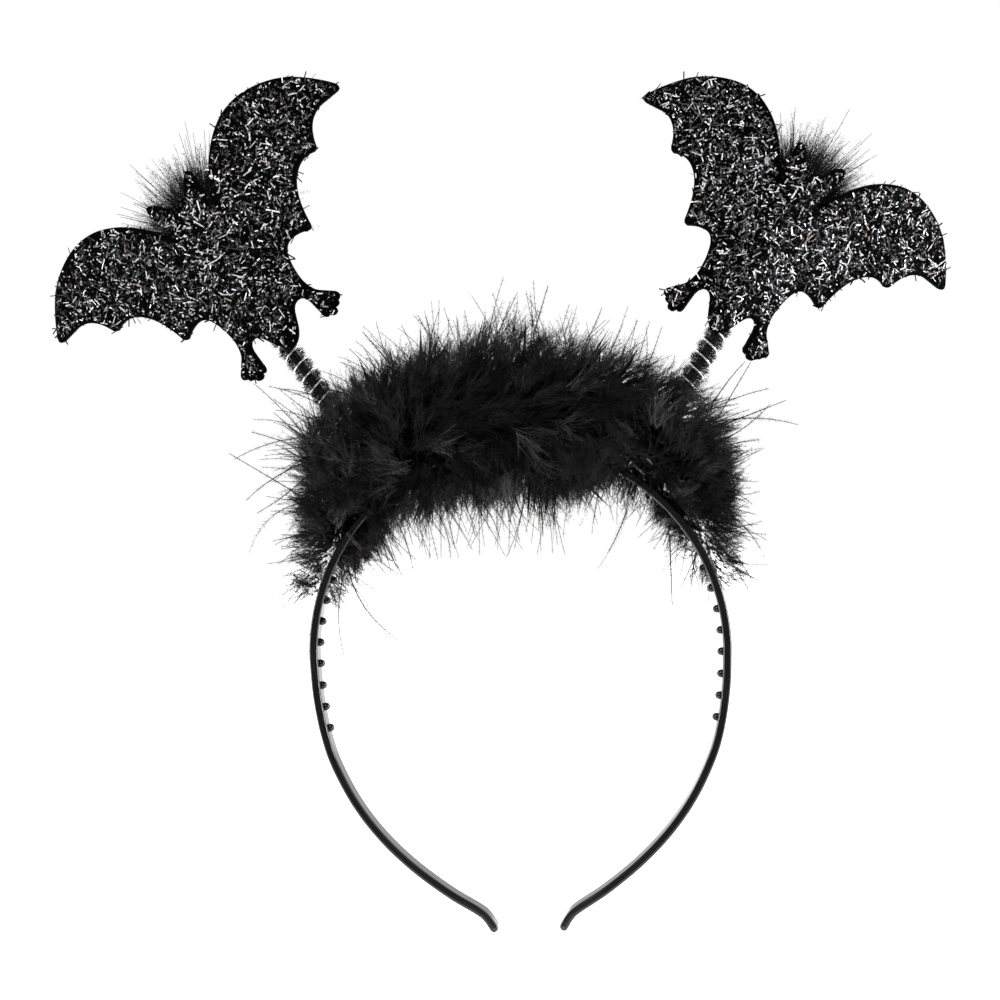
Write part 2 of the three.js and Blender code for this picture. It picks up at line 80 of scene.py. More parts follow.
# Materials: metal, roughness and shine, and the scale at which the colour wanders between two
LOOKS = table(("name", "metal", "roughness", "shine", "low", "high", "scale"), [
    ("band_plastic", 0, 0.12, 0.5, (0.002, 0.002, 0.0022), (0.005, 0.005, 0.0055), 160),
    ("feather_black", 0, 0.6, 0.12, (0.0014, 0.0013, 0.0012), (0.009, 0.0085, 0.008), 110),
    ("feather_dark", 0, 0.55, 0.2, (0.004, 0.0038, 0.004), (0.028, 0.027, 0.0285), 130),
    # Grey plumes: partly the feathers' own random tone, partly painted sheen for strands that catch the
    # light
    ("feather_grey", 0, 0.6, 0.25, (0.03, 0.029, 0.0305), (0.11, 0.107, 0.113), 140),
    ("cord_grey", 0, 0.8, 0.2, (0.008, 0.0075, 0.007), (0.05, 0.046, 0.044), 900),
    # The boa's inner body: the feathers' own black, darkened further as painted shade of the dense
    # inside
    ("feather_core", 0, 0.95, 0.02, (0.0008, 0.0008, 0.0008), (0.0025, 0.0025, 0.0025), 240),
    ("spring_wire", 0.7, 0.35, 0.5, (0.6, 0.6, 0.62), (0.85, 0.85, 0.88), 420),
    ("pile_fibre", 0, 0.75, 0.15, (0.008, 0.0075, 0.0075), (0.03, 0.028, 0.028), 900),
    ("foam_black", 0, 0.8, 0.02, (0.0002, 0.0002, 0.0002), (0.0012, 0.0012, 0.0013), 900),
    # The tinsel's four shades are lit and unlit copies of one glitter: painted glints on the silver and
    # pink strips, a painted half glint on the grey ones, painted shade on the dark ones
    ("tinsel_silver", 0.25, 0.3, 0.3, (0.65, 0.65, 0.67), (0.97, 0.97, 0.99), 1100),
    ("tinsel_grey", 0.5, 0.35, 0.15, (0.02, 0.02, 0.021), (0.14, 0.14, 0.145), 1100),
    ("tinsel_dark", 0.0, 0.6, 0.04, (0.0002, 0.0002, 0.0002), (0.0015, 0.0015, 0.0015), 1100),
    ("tinsel_blush", 0.45, 0.3, 0.15, (0.35, 0.25, 0.23), (0.8, 0.68, 0.68), 1100),
])
ROUGHNESS_LOOKS = table(("name", "low", "high", "scale"), [
    ("band_plastic", 0.1, 0.22, 260),
    ("spring_wire", 0.2, 0.38, 900),
])
BUMP_LOOKS = table(("name", "scale", "distance", "strength"), [
    ("band_plastic", 900, 0.000008, 0.4),
    ("feather_core", 700, 0.0012, 1.0),
    ("foam_black", 1400, 0.0002, 1.0),
])
NOISE_DETAIL = 4.0
ROUGHNESS_DETAIL = 2.0
COLOUR_SPREAD = (0.35, 0.65)

# Band
BAND_RADIUS = 0.065
BAND_DROP = 0.0856
BAND_THICKNESS = 0.0026
BAND_CROWN_DEPTH = 0.009
BAND_TIP_DEPTH = 0.0075
BAND_BEVEL = 0.0008
BAND_BEVEL_STEPS = 4
BAND_FLAT_EDGE = 0.00012
BAND_TIP_ROUNDING = (20, 40, 58, 72, 84)
BAND_ARC_STEPS = 60
BAND_LEG_STEPS = 90
BAND_CENTRE = np.array([0.0, 0.0, BAND_THICKNESS - BAND_RADIUS])

# Pegs on the band's inner face, counted up from the lowest on each leg
PEGS_PER_LEG = 8
PEG_PITCH = 0.0069
PEG_LOWEST = 0.0228
PEG_RADIUS = 0.00125
PEG_HEIGHT = 0.0017
PEG_SIDES = 20
PEG_SUNK = 0.3
PEG_SHOULDER = 0.25
PEG_DOME = (0, 15, 30, 45, 60, 75, 85)

# Springs and the pile inside them
WIRE_RADIUS = 0.000325
COIL_RADIUS = 0.00287
COIL_PITCH = 0.0044
COIL_STEPS = 34
WIRE_SIDES = 8
PILE_CORE_RADIUS = 0.0014
PILE_REACH = 0.0035
PILE_FIBRES = 14500
PILE_FIBRE_WIDTH = 0.00011
PILE_ROOT = 0.6
PILE_AT_WIRE = 0.68
PILE_SWELL = 0.48
PILE_UNEVEN = (0.85, 1.08)
PILE_LEAN = 0.22
PILE_CORE_STEPS = 70
PILE_CORE_SIDES = 14

# Where the tuft sits on a bat, measured up from the bat's tail
STEM_BEHIND_BAT = 0.018
GAP = 0.0003
TUFT_HEIGHT = 0.044
TUFT_RADIUS = 0.0044

# Feathers
BARB_POINTS = 4
QUILL_POINTS = 7
BARBULE_PAIRS = 11
BARB_WIDTH = 0.00026
BARBULE_WIDTH = 0.00017
BARBULE_LENGTH = 0.0021
BARBULE_UNEVEN = (0.65, 1.25)
BARBULE_SLANT = (0.45, 0.85)
BARBULE_TIP_SCATTER = 0.0002
FULL_BARB = 0.011
BARB_TIP = 0.15
QUILL_TIP = 0.4
BARB_FADE = 0.55
QUILL_FADE = 0.85
QUILL_SPREAD = 1.2
BOA_PLUMES = 860
BOA_BARBS = 20
BOA_FROND_GROUPS = 400
BOA_FRONDS_PER_GROUP = 4
BOA_PARTS = 4
BOA_CORE = 0.5
BOA_CORE_ENDS = (-60.0, 56.0)
BOA_LOCKS = 2600
BOA_LOCK_RADIUS = 0.0013
BOA_LOCK_STEPS = 4
BOA_LOCK_SIDES = 3
BOA_CORE_OFF_BAND = 0.0008
BOA_CORE_STEPS = 110
BOA_CORE_SIDES = 40
# Shades of the plumes, chosen at random; the grey one is partly painted sheen
BOA_SHADES = ["feather_black", "feather_dark", "feather_grey"]
BOA_SHADE_CHANCES = [0.46, 0.38, 0.16]
BOA_QUILL_WIDTH = 0.00028
LONG_QUILL_WIDTH = 0.0004

# Places over the boa: more of them on the slopes near its ends, by degrees from upright
PLACE_STEPS = 400
PLACE_POWER = 1.3
END_SLOPE_AT = 52
END_SLOPE_WIDTH = 7
END_SLOPE_EXTRA = 2.2
ANGLE_SCATTER = 0.01
TURN_SCATTER = 0.1
END_LEAN_AT = 50
SHORTER_FROM = 37
SHORTER_OVER = 12

# How feathers lie: shares of the outward pull, of the swirls, and of random scatter
FLOW_OUTWARD = 1.1
FLOW_RISE = 0.35
FLOW_SWIRL_OUT = 0.7
FLOW_SWIRL_ALONG = 0.8
FLOW_SCATTER = 0.22

# Locks, down and fronds: roots and edges as shares of the boa's section, and lengths in metres
LOCK_DEPTH = (0.3, 0.6)
LOCK_EDGE = (0.58, 0.95)
LOCK_RAGGED = 0.08
LOCK_END_LOSS = 0.25
LOCK_BEND = (0.05, 0.3)
FULL_LOCK = 0.012
DOWN_DEPTH = (0.62, 0.98)
DOWN_END_LOSS = 0.12
DOWN_PLUME = (0.002, 0.0055)
DOWN_PLUME_BEND = (0.05, 0.35)
DOWN_ROOT_SCATTER = 0.0012
DOWN_OPENING = (8, 46)
DOWN_LENGTH = 0.006
DOWN_FACING_LENGTH = 0.0022
DOWN_UNEVEN = (0.6, 1.4)
DOWN_CURL = (0.05, 0.45)
DOWN_FULL_SECTION = 0.02
FROND_DEPTH = (0.72, 0.9)
FROND_LENGTH = (0.008, 0.025)
FROND_CURL = (0.02, 0.28)
FROND_DROOP = 0.06
FROND_LEAN = 0.28
FROND_SCATTER = 0.12
FROND_FAN = 0.17
FROND_ROOT_SCATTER = 0.001
FROND_FULL_SECTION = 0.024
FROND_PAIRS = 13
FROND_FLUFF = 1.05
LONG_QUILL_FRONT = (-0.014, 0.004)
LONG_QUILL_SWAY = (-0.004, 0.004)
LONG_QUILL_PAIRS = 34
LONG_QUILL_FLUFF = 0.9

# Feathers of a tuft: how many, the fan's half angle in degrees, and the rest in metres or shares
TUFT_LAYERS = table(
    ("count", "spread", "rise", "root", "scatter", "length", "curl", "width", "fluff", "quill"), [
        (3000, 118, 0.6, (0.0065, 0.0185), 0.0016, (0.007, 0.0135), (0.05, 0.35),
         BARB_WIDTH * 0.8, 1.15, False),
        (110, 100, 0.35, (0.002, 0.006), 0, (0.018, 0.035), (0.0, 0.1),
         BOA_QUILL_WIDTH, 0.3, True),
    ])

# Bats, from the tail end to the wing tops and from the middle to a wing tip
BAT_HALF_SPAN = 0.0615
BAT_HEIGHT = 0.072
BAT_THICKNESS = 0.0025
BAT_RIM = 0.0006
BAT_RIM_STEPS = 4
BAT_CURVE_STEP = 0.0006

# Tinsel on the bats; the chances pick each strip's shade, a painted glint or painted shade
TINSEL_PAINTED_GLINTS = ["tinsel_silver", "tinsel_grey", "tinsel_dark", "tinsel_blush"]
TINSEL_LAYERS = table(("kind", "count", "longest", "chances"), [
    ("strips", 5600, 0.0044, [0.16, 0.24, 0.58, 0.02]),
    ("specks", 6500, 0.0007, [0.08, 0.33, 0.575, 0.015]),
])
TINSEL_MARGIN = 0.0009
TINSEL_LENGTH = 0.00125
TINSEL_LENGTH_SPREAD = 0.55
TINSEL_SHORTEST = 0.00035
TINSEL_SHORT_AT_EDGE = 0.0008
TINSEL_WIDTH = (0.00024, 0.00046)
TINSEL_LIFT = (0.00006, 0.0005)
# Chances over the same painted glints and painted shade, for the strips past the edge
OVERHANG_CHANCES = [0.12, 0.1, 0.78, 0.0]
OVERHANG_INSET = 0.0003
OVERHANG_LENGTH = (0.001296, 0.006)
OVERHANG_WIDTH = (0.00025, 0.00048)
THREAD_STEPS = 16
THREAD_STEP = 0.0007
THREAD_LIFT = 0.0006
THREAD_HALF_WIDTH = 0.00007
THREAD_BEND = 0.1
TINSEL_THREADS = 34
TINSEL_OVERHANGS = 110

# One row a side: how far the stem leans out from upright, in degrees, the free length up to the
# bat's tail, and how the bat is moved, turned, tilted and folded on it
SIDES = [
    {"name": "left", "sign": -1, "lean": 33.9, "free": 0.0513,
     "shift": 0.0036, "turn": -8.1, "tilt": -4.0, "fold": 9.3},
    {"name": "right", "sign": 1, "lean": 31.8, "free": 0.0486,
     "shift": -0.0018, "turn": 4.4, "tilt": 2.5, "fold": 23.7},
]

# Outer face of a leg below the widest point: drop as a share of the drop, width of the radius
LEG_PROFILE = table(("drop", "width"), [
    (0.0, 1.0),
    (0.107, 0.993),
    (0.193, 0.98),
    (0.279, 0.959),
    (0.365, 0.928),
    (0.45, 0.881),
    (0.536, 0.821),
    (0.621, 0.745),
    (0.707, 0.648),
    (0.794, 0.525),
    (0.879, 0.378),
    (0.94, 0.25),
    (0.965, 0.212),
    (1.0, 0.182),
])

# Boa by the angle from upright, in degrees: how far its dense down reaches out from the band's
# outer face, in towards the head, and to the front and back, in millimetres
BOA_PROFILE = table(("angle", "out", "inward", "depth"), [
    (-72, 4, 3, 6),
    (-64, 7, 5, 9),
    (-57, 11, 7, 12),
    (-51, 18, 7.5, 15),
    (-45, 29, 8, 18),
    (-35, 31.5, 10, 20),
    (-25, 32, 13, 21),
    (-10, 31.5, 15.5, 21),
    (0, 31.5, 18, 21),
    (10, 29.5, 17, 21),
    (20, 29, 11, 20),
    (30, 31, 5.5, 19),
    (38, 29.5, 2.5, 18),
    (44, 26.5, 2.5, 16),
    (50, 20, 3, 13),
    (56, 13, 4, 11),
    (63, 8, 4, 9),
    (71, 5, 3, 6),
])
MILLIMETRE = 0.001

# Where the boa's cord ends, in millimetres
CORD_START = (-51.0, -9.0, -24.0)
KNOT_PLACE = (-45.0, -13.0, -30.8)
CORD_RADIUS = 0.0006
KNOT_RADIUS = 0.002
RING_PLACE = (-54.5, -15.5, -18.5)
RING_RADIUS = 0.0017
RING_TURNS = 1.6
RING_STEPS = 60
RING_LIFT = 0.0004
RING_THREAD_RADIUS = 0.00013
KNOT_FIBRES = 700
KNOT_FIBRE_WIDTH = 0.00012
CORD_SAG = 0.002
CORD_SIDES = 6
CORD_STEPS = 9

# Long quills that stand out of the boa, each from its root to its tip in the band's plane, in
# millimetres across and up, with how far its middle rises above the straight line
LONG_QUILLS = table(("place", "root", "tip", "rise"), [
    ("left end", (-57, -18.4), (-89.5, 2), 0),
    ("left end", (-61, -14), (-83, -29.5), 5),
    ("left end", (-64, 6), (-87, 0), 1.5),
    ("left end", (-62, -1), (-84.5, -13), 1.5),
    ("left end", (-60, -3), (-79, -17), -1),
    ("left shoulder", (-58, -2), (-80, 8), 1),
    ("left shoulder", (-58, 2), (-80.5, 12), 3),
    ("left shoulder", (-60, 1), (-79, 23), 1),
    ("left shoulder", (-62, 3), (-74, 14), 0),
    ("left shoulder", (-52, 11), (-74.5, 22), 1.5),
    ("left shoulder", (-53, 13), (-70, 20.5), 2),
    ("left leg", (-63, -30), (-67.5, -63), -4),
    ("left leg", (-61, -34), (-65.5, -56), -2),
    ("left leg", (-52, -34), (-37, -58), -3),
    ("left leg", (-54, -36), (-55, -64), 2),
    ("under", (-28, -14), (-20.5, -33), 2),
    ("under", (-38, -18), (-32, -36), 1),
    ("under", (-14, -12), (-4, -28), 2),
    ("under", (35, -18), (25, -37.5), -1),
    ("under", (47, -28), (47, -49), 1),
    ("right end", (58, -24), (72, -43), 1),
    ("right end", (60, -28), (70, -45), 0),
    ("right end", (62, -20), (76, -36), 2),
    ("right shoulder", (60, 2), (74, 24), 0),
    ("right shoulder", (58, 5), (72, 24), 1),
    ("right shoulder", (64, 0), (79.5, 11), -1),
    ("right shoulder", (62, 4), (84.5, 12), 0),
    ("right shoulder", (63, 6), (87, 4), 1.5),
    ("right shoulder", (58, 8), (79, 15.5), 1),
    ("top", (-7, 27), (3.5, 47.5), 0),
    ("top", (-21, 24), (-24.5, 41), 0),
    ("top", (-19, 24), (-27.5, 42), 0),
    ("top", (-36, 27), (-44.5, 37.5), 0),
    ("top", (-40, 20), (-51, 28), 1),
    ("top", (8, 34), (13, 49), 0),
    ("top", (22, 30), (29, 43), -0.5),
])

# Right half of a bat from tail to head: across as a share of the half span, up of the height.
# A row with a bend is a curve that leans on that point, and one without is a straight edge.
BAT_OUTLINE = table(("part", "bend", "to"), [
    ("tail end", (0.043, 0.004), (0.077, 0.055)),
    ("tail side", None, (0.107, 0.107)),
    ("crotch", (0.127, 0.141), (0.16, 0.142)),
    ("crotch", (0.192, 0.142), (0.2, 0.101)),
    ("shin", None, (0.205, 0.04)),
    ("inner toe", (0.203, 0.004), (0.227, 0.003)),
    ("inner toe", None, (0.238, 0.01)),
    ("middle toe", (0.243, -0.013), (0.267, -0.009)),
    ("middle toe", (0.285, -0.006), (0.283, 0.014)),
    ("outer toe", (0.315, 0.011), (0.315, 0.031)),
    ("heel", (0.353, 0.04), (0.333, 0.067)),
    ("heel", None, (0.273, 0.116)),
    ("leg", (0.245, 0.141), (0.24, 0.2)),
    ("hip", (0.242, 0.269), (0.265, 0.317)),
    ("inner scallop", (0.287, 0.364), (0.343, 0.363)),
    ("inner scallop", (0.385, 0.362), (0.427, 0.342)),
    ("inner point", (0.447, 0.339), (0.453, 0.361)),
    ("middle scallop", (0.493, 0.552), (0.617, 0.589)),
    ("middle scallop", (0.66, 0.6), (0.7, 0.586)),
    ("outer point", (0.72, 0.587), (0.727, 0.607)),
    ("outer scallop", (0.77, 0.712), (0.873, 0.723)),
    ("outer scallop", None, (0.98, 0.722)),
    ("wing tip", (1.01, 0.724), (1.0, 0.749)),
    ("wing edge", (0.94, 0.83), (0.843, 0.903)),
    ("wing top", (0.745, 0.965), (0.623, 0.982)),
    ("wing top", (0.533, 0.994), (0.443, 0.965)),
    ("shoulder", (0.335, 0.925), (0.257, 0.845)),
    ("neck", (0.207, 0.798), (0.143, 0.701)),
    ("neck", (0.122, 0.665), (0.12, 0.697)),
    ("cheek", (0.143, 0.765), (0.158, 0.83)),
    ("ear tip", (0.163, 0.885), (0.133, 0.877)),
    ("inner ear", (0.103, 0.868), (0.08, 0.832)),
    ("brow", (0.053, 0.8), (0.0, 0.79)),
])

# Beyond these angles the band's front edge shows bare in front of the feathers
BARE_FROM_LEFT = 47.0
BARE_FROM_RIGHT = 42.0
BARE_BLEND = 6.0
BARE_NEAR = (-0.0055, 0.0012)
BARE_FRONT = -0.0035
BEHIND_SHARE = 0.6
BEHIND_CLEAR = 0.001

BACKWARD = np.array([0.0, 1.0, 0.0])
GOLDEN = (math.sqrt(5) - 1) / 2


def unit(vectors):
    """Vectors scaled to length one, along the last axis."""
    return vectors / np.maximum(np.linalg.norm(vectors, axis=-1, keepdims=True), 1e-12)


def radial(angle):
    """Directions in the band's plane at angles from upright, positive to the right."""
    angle = np.asarray(angle, float)
    return np.stack([np.sin(angle), np.zeros_like(angle), np.cos(angle)], -1)


def random_units(rng, count):
    return unit(rng.normal(size=(count, 3)))


def across(directions, rng):
    """A random unit vector square to each direction."""
    return unit(np.cross(directions, random_units(rng, len(directions))))


# Materials

def new_material(name, **sockets):
    material = bpy.data.materials.new(name)
    material.use_nodes = True
    shader = material.node_tree.nodes["Principled BSDF"]
    for socket, value in sockets.items():
        shader.inputs[socket.replace("_", " ")].default_value = value
    return material


def noise_value(material, scale, detail):
    """Noise over the object's own coordinates, as a node's output."""
    nodes, links = material.node_tree.nodes, material.node_tree.links
    place = nodes.new("ShaderNodeTexCoord")
    noise = nodes.new("ShaderNodeTexNoise")
    noise.inputs["Scale"].default_value = scale
    noise.inputs["Detail"].default_value = detail
    links.new(place.outputs["Object"], noise.inputs["Vector"])
    return noise.outputs["Fac"]


def feed(material, output, socket):
    shader = material.node_tree.nodes["Principled BSDF"]
    material.node_tree.links.new(output, shader.inputs[socket])


def add_noise_colour(material, low, high, scale):
    """Base colour that wanders between two colours at a chosen scale."""
    ramp = material.node_tree.nodes.new("ShaderNodeValToRGB")
    for element, position, colour in zip(ramp.color_ramp.elements, COLOUR_SPREAD, (low, high)):
        element.position = position
        element.color = (*colour, 1.0)
    material.node_tree.links.new(noise_value(material, scale, NOISE_DETAIL), ramp.inputs["Fac"])
    feed(material, ramp.outputs["Color"], "Base Color")


def add_noise_bump(material, scale, distance, strength):
    bump = material.node_tree.nodes.new("ShaderNodeBump")
    bump.inputs["Distance"].default_value = distance
    bump.inputs["Strength"].default_value = strength
    material.node_tree.links.new(noise_value(material, scale, NOISE_DETAIL), bump.inputs["Height"])
    feed(material, bump.outputs["Normal"], "Normal")


def add_noise_roughness(material, low, high, scale):
    spread = material.node_tree.nodes.new("ShaderNodeMapRange")
    spread.inputs["To Min"].default_value = low
    spread.inputs["To Max"].default_value = high
    noise = noise_value(material, scale, ROUGHNESS_DETAIL)
    material.node_tree.links.new(noise, spread.inputs["Value"])
    feed(material, spread.outputs["Result"], "Roughness")


def make_materials():
    made = {}
    for row in LOOKS:
        made[row["name"]] = new_material(row["name"], Metallic=row["metal"],
                                         Roughness=row["roughness"], Specular_IOR_Level=row["shine"])
        add_noise_colour(made[row["name"]], row["low"], row["high"], row["scale"])
    for row in ROUGHNESS_LOOKS:
        add_noise_roughness(made[row["name"]], row["low"], row["high"], row["scale"])
    for row in BUMP_LOOKS:
        add_noise_bump(made[row["name"]], row["scale"], row["distance"], row["strength"])
    return made


MATERIALS = make_materials()


# Mesh building

def mesh_piece(name, points, face_sets, materials, replaces=(), indices=None, smooth=False):
    """One object from points and arrays of faces, which rides on the part and names its slot."""
    corners = np.concatenate([faces.ravel() for faces in face_sets])
    counts = np.concatenate([np.full(len(faces), faces.shape[1]) for faces in face_sets])
    starts = np.concatenate([[0], np.cumsum(counts)[:-1]])
    mesh = bpy.data.meshes.new(name)
    mesh.vertices.add(len(points))
    mesh.vertices.foreach_set("co", np.asarray(points, np.float32).ravel())
    mesh.loops.add(len(corners))
    mesh.loops.foreach_set("vertex_index", corners.astype(np.int32))
    mesh.polygons.add(len(counts))
    mesh.polygons.foreach_set("loop_start", starts.astype(np.int32))
    mesh.polygons.foreach_set("use_smooth", np.full(len(counts), smooth))
    for material in materials:
        mesh.materials.append(MATERIALS[material])
    if indices is not None:
        mesh.polygons.foreach_set("material_index", np.asarray(indices, np.int32))
    mesh.update(calc_edges=True)
    piece = bpy.data.objects.new(name, mesh)
    bpy.context.scene.collection.objects.link(piece)
    return dress(piece, replaces)


def dress(piece, replaces=()):
    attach(piece, "root")
    if replaces:
        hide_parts(*replaces)
    return piece


def loft_faces(rings, sides):
    """Quads between rings of equal size, and a fan of triangles over each end's middle point."""
    ring, side = np.meshgrid(np.arange(rings - 1), np.arange(sides), indexing="ij")
    a = ring * sides + side
    b = ring * sides + (side + 1) % sides
    quads = np.stack([a, b, b + sides, a + sides], -1).reshape(-1, 4)
    side = np.arange(sides)
    following = (side + 1) % sides
    first = np.stack([np.full(sides, rings * sides), following, side], -1)
    last = (rings - 1) * sides
    end = np.stack([np.full(sides, rings * sides + 1), last + side, last + following], -1)
    return [quads, np.concatenate([first, end])]


def loft(rings):
    """Points and faces of a closed body through rings given as an array (ring, side, 3)."""
    count, sides = rings.shape[:2]
    middles = np.stack([rings[0].mean(0), rings[-1].mean(0)])
    return np.concatenate([rings.reshape(-1, 3), middles]), loft_faces(count, sides)


def merge(parts):
    """Several (points, face sets) joined into one, with triangles and quads kept apart."""
    points, sets, start = [], {}, 0
    for part_points, part_sets in parts:
        points.append(part_points)
        for faces in part_sets:
            sets.setdefault(faces.shape[1], []).append(faces + start)
        start += len(part_points)
    return np.concatenate(points), [np.concatenate(group) for group in sets.values()]


# Band

def leg_point(share):
    """Point and slope of the leg's outer face, on a smooth curve through the profile's rows."""
    rows = np.array([[row["width"], row["drop"]] for row in LEG_PROFILE])
    place = share * (len(rows) - 1)
    index = min(int(place), len(rows) - 2)
    t = place - index
    before, here, after, beyond = (rows[np.clip(index + k, 0, len(rows) - 1)] for k in (-1, 0, 1, 2))
    start, end = (after - before) / 2, (beyond - here) / 2
    point = (
        (2 * here - 2 * after + start + end) * t ** 3
        + (-3 * here + 3 * after - 2 * start - end) * t ** 2
        + start * t + here
    )
    slope = (
        3 * (2 * here - 2 * after + start + end) * t ** 2
        + 2 * (-3 * here + 3 * after - 2 * start - end) * t + start
    )
    x, z = point[0] * BAND_RADIUS, BAND_CENTRE[2] - point[1] * BAND_DROP
    inward = unit(np.array([-slope[1] * BAND_DROP, 0.0, -slope[0] * BAND_RADIUS]))
    return np.array([x, 0.0, z]), inward


def right_half_sections():
    sections = []
    for step in range(BAND_ARC_STEPS + 1):
        outward = radial(math.pi / 2 * step / BAND_ARC_STEPS)
        sections.append((BAND_CENTRE + outward * BAND_RADIUS, -outward))
    for step in range(1, BAND_LEG_STEPS + 1):
        sections.append(leg_point(step / BAND_LEG_STEPS))
    return sections


def band_ring(point, inward, depth, scale=1.0):
    """Rounded rectangle square to the band, as points from the outer face's back edge round."""
    half_thickness = BAND_THICKNESS / 2 * scale
    half_depth = depth / 2 - BAND_THICKNESS / 2 + half_thickness
    bevel = BAND_BEVEL * scale
    middle = point + inward * BAND_THICKNESS / 2
    ring = []
    flat_start = -BAND_FLAT_EDGE * scale
    for corner, (side, end) in enumerate([(1, 1), (-1, 1), (-1, -1), (1, -1)]):
        first, last = math.pi / 2 * corner, math.pi / 2 * (corner + 1)
        places = [(first, flat_start)]
        places += [(angle, 0.0) for angle in np.linspace(first, last, BAND_BEVEL_STEPS + 1)]
        places.append((last, -flat_start))
        for angle, beside in places:
            inner = side * (half_thickness - bevel) + bevel * math.cos(angle)
            back = end * (half_depth - bevel) + bevel * math.sin(angle)
            inner -= beside * math.sin(angle)
            back += beside * math.cos(angle)
            ring.append(middle + inward * inner + BACKWARD * back)
    return ring


def make_band():
    right = right_half_sections()
    last = len(right) - 1
    rings = []
    for step, (point, inward) in enumerate(right):
        depth = BAND_CROWN_DEPTH + (BAND_TIP_DEPTH - BAND_CROWN_DEPTH) * step / last
        rings.append(band_ring(point, inward, depth))
    onward = unit(right[-1][0] - right[-2][0])
    for degrees in BAND_TIP_ROUNDING:
        angle = math.radians(degrees)
        point = right[-1][0] + onward * BAND_THICKNESS / 2 * math.sin(angle)
        rings.append(band_ring(point, right[-1][1], BAND_TIP_DEPTH, math.cos(angle)))
    rings = np.array(rings)
    mirrored = rings[:0:-1] * [-1, 1, 1]
    # a mirrored ring runs the same way round in front view, so sides keep their order
    parts = [loft(np.concatenate([mirrored, rings]))]
    parts += make_pegs(right[BAND_ARC_STEPS:])
    points, faces = merge(parts)
    piece = mesh_piece("headband_band", points, faces, ["band_plastic"],
                       ["band"], smooth=True)
    return piece


def inner_face_at(length, leg):
    """Place on the inner face at a length down from the widest point, above it if negative."""
    if length <= 0:
        outward = radial(math.pi / 2 + length / BAND_RADIUS)
        return BAND_CENTRE + outward * (BAND_RADIUS - BAND_THICKNESS), -outward
    points = np.array([point for point, inward in leg])
    walked = np.concatenate([[0], np.cumsum(np.linalg.norm(np.diff(points, axis=0), axis=1))])
    step = int(np.searchsorted(walked, length)) - 1
    share = (length - walked[step]) / (walked[step + 1] - walked[step])
    inward = unit(leg[step][1] * (1 - share) + leg[step + 1][1] * share)
    return points[step] * (1 - share) + points[step + 1] * share + inward * BAND_THICKNESS, inward


def make_pegs(leg):
    """Short round pegs with domed ends, the same on both legs."""
    profile = [(1.0, -PEG_SUNK)]
    for angle in np.radians(PEG_DOME):
        profile.append((math.cos(angle), PEG_SHOULDER + (1 - PEG_SHOULDER) * math.sin(angle)))
    pegs = []
    for index in range(PEGS_PER_LEG):
        point, inward = inner_face_at(PEG_LOWEST - index * PEG_PITCH, leg)
        for sign in (1, -1):
            flip = np.array([sign, 1, 1])
            base, up = point * flip, inward * flip
            side = np.cross(up, BACKWARD)
            turns = 2 * math.pi * np.arange(PEG_SIDES) / PEG_SIDES
            circle = np.cos(turns)[:, None] * side + np.sin(turns)[:, None] * BACKWARD
            pegs.append(loft(np.array([
                base + up * PEG_HEIGHT * height + circle * PEG_RADIUS * width
                for width, height in profile
            ])))
    return pegs


# Stems

def stem_line(side):
    """Base, direction and length of a stem, read from its rod in the frame."""
    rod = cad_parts[f"stem_pile_{side['name']}"]
    points = np.array([vertex.co for vertex in rod.data.vertices], float)
    along = radial(side["sign"] * math.radians(side["lean"]))
    heights = points @ along
    base = points[heights < heights.min() + GAP].mean(0)
    return base, along, heights.max() - heights.min()


def make_spring(side):
    base, along, length = stem_line(side)
    length -= 2 * WIRE_RADIUS
    turns = round(length / COIL_PITCH)
    lean = side["sign"] * math.radians(side["lean"])
    aside = np.array([math.cos(lean), 0.0, -math.sin(lean)])
    share = np.linspace(0, 1, turns * COIL_STEPS + 1)
    angle = -side["sign"] * 2 * math.pi * turns * share
    outward = np.cos(angle)[:, None] * aside + np.sin(angle)[:, None] * BACKWARD
    path = base + along * (WIRE_RADIUS + length * share)[:, None] + outward * COIL_RADIUS
    tangent = unit(np.gradient(path, axis=0))
    other = np.cross(tangent, outward)
    corner = 2 * math.pi * np.arange(WIRE_SIDES) / WIRE_SIDES
    rings = path[:, None] + WIRE_RADIUS * (
        np.cos(corner)[None, :, None] * outward[:, None] + np.sin(corner)[None, :, None] * other[:, None]
    )
    points, faces = loft(rings)
    mesh_piece(f"spring_wire_{side['name']}", points, faces, ["spring_wire"],
               [f"spring_{side['name']}"], smooth=True)


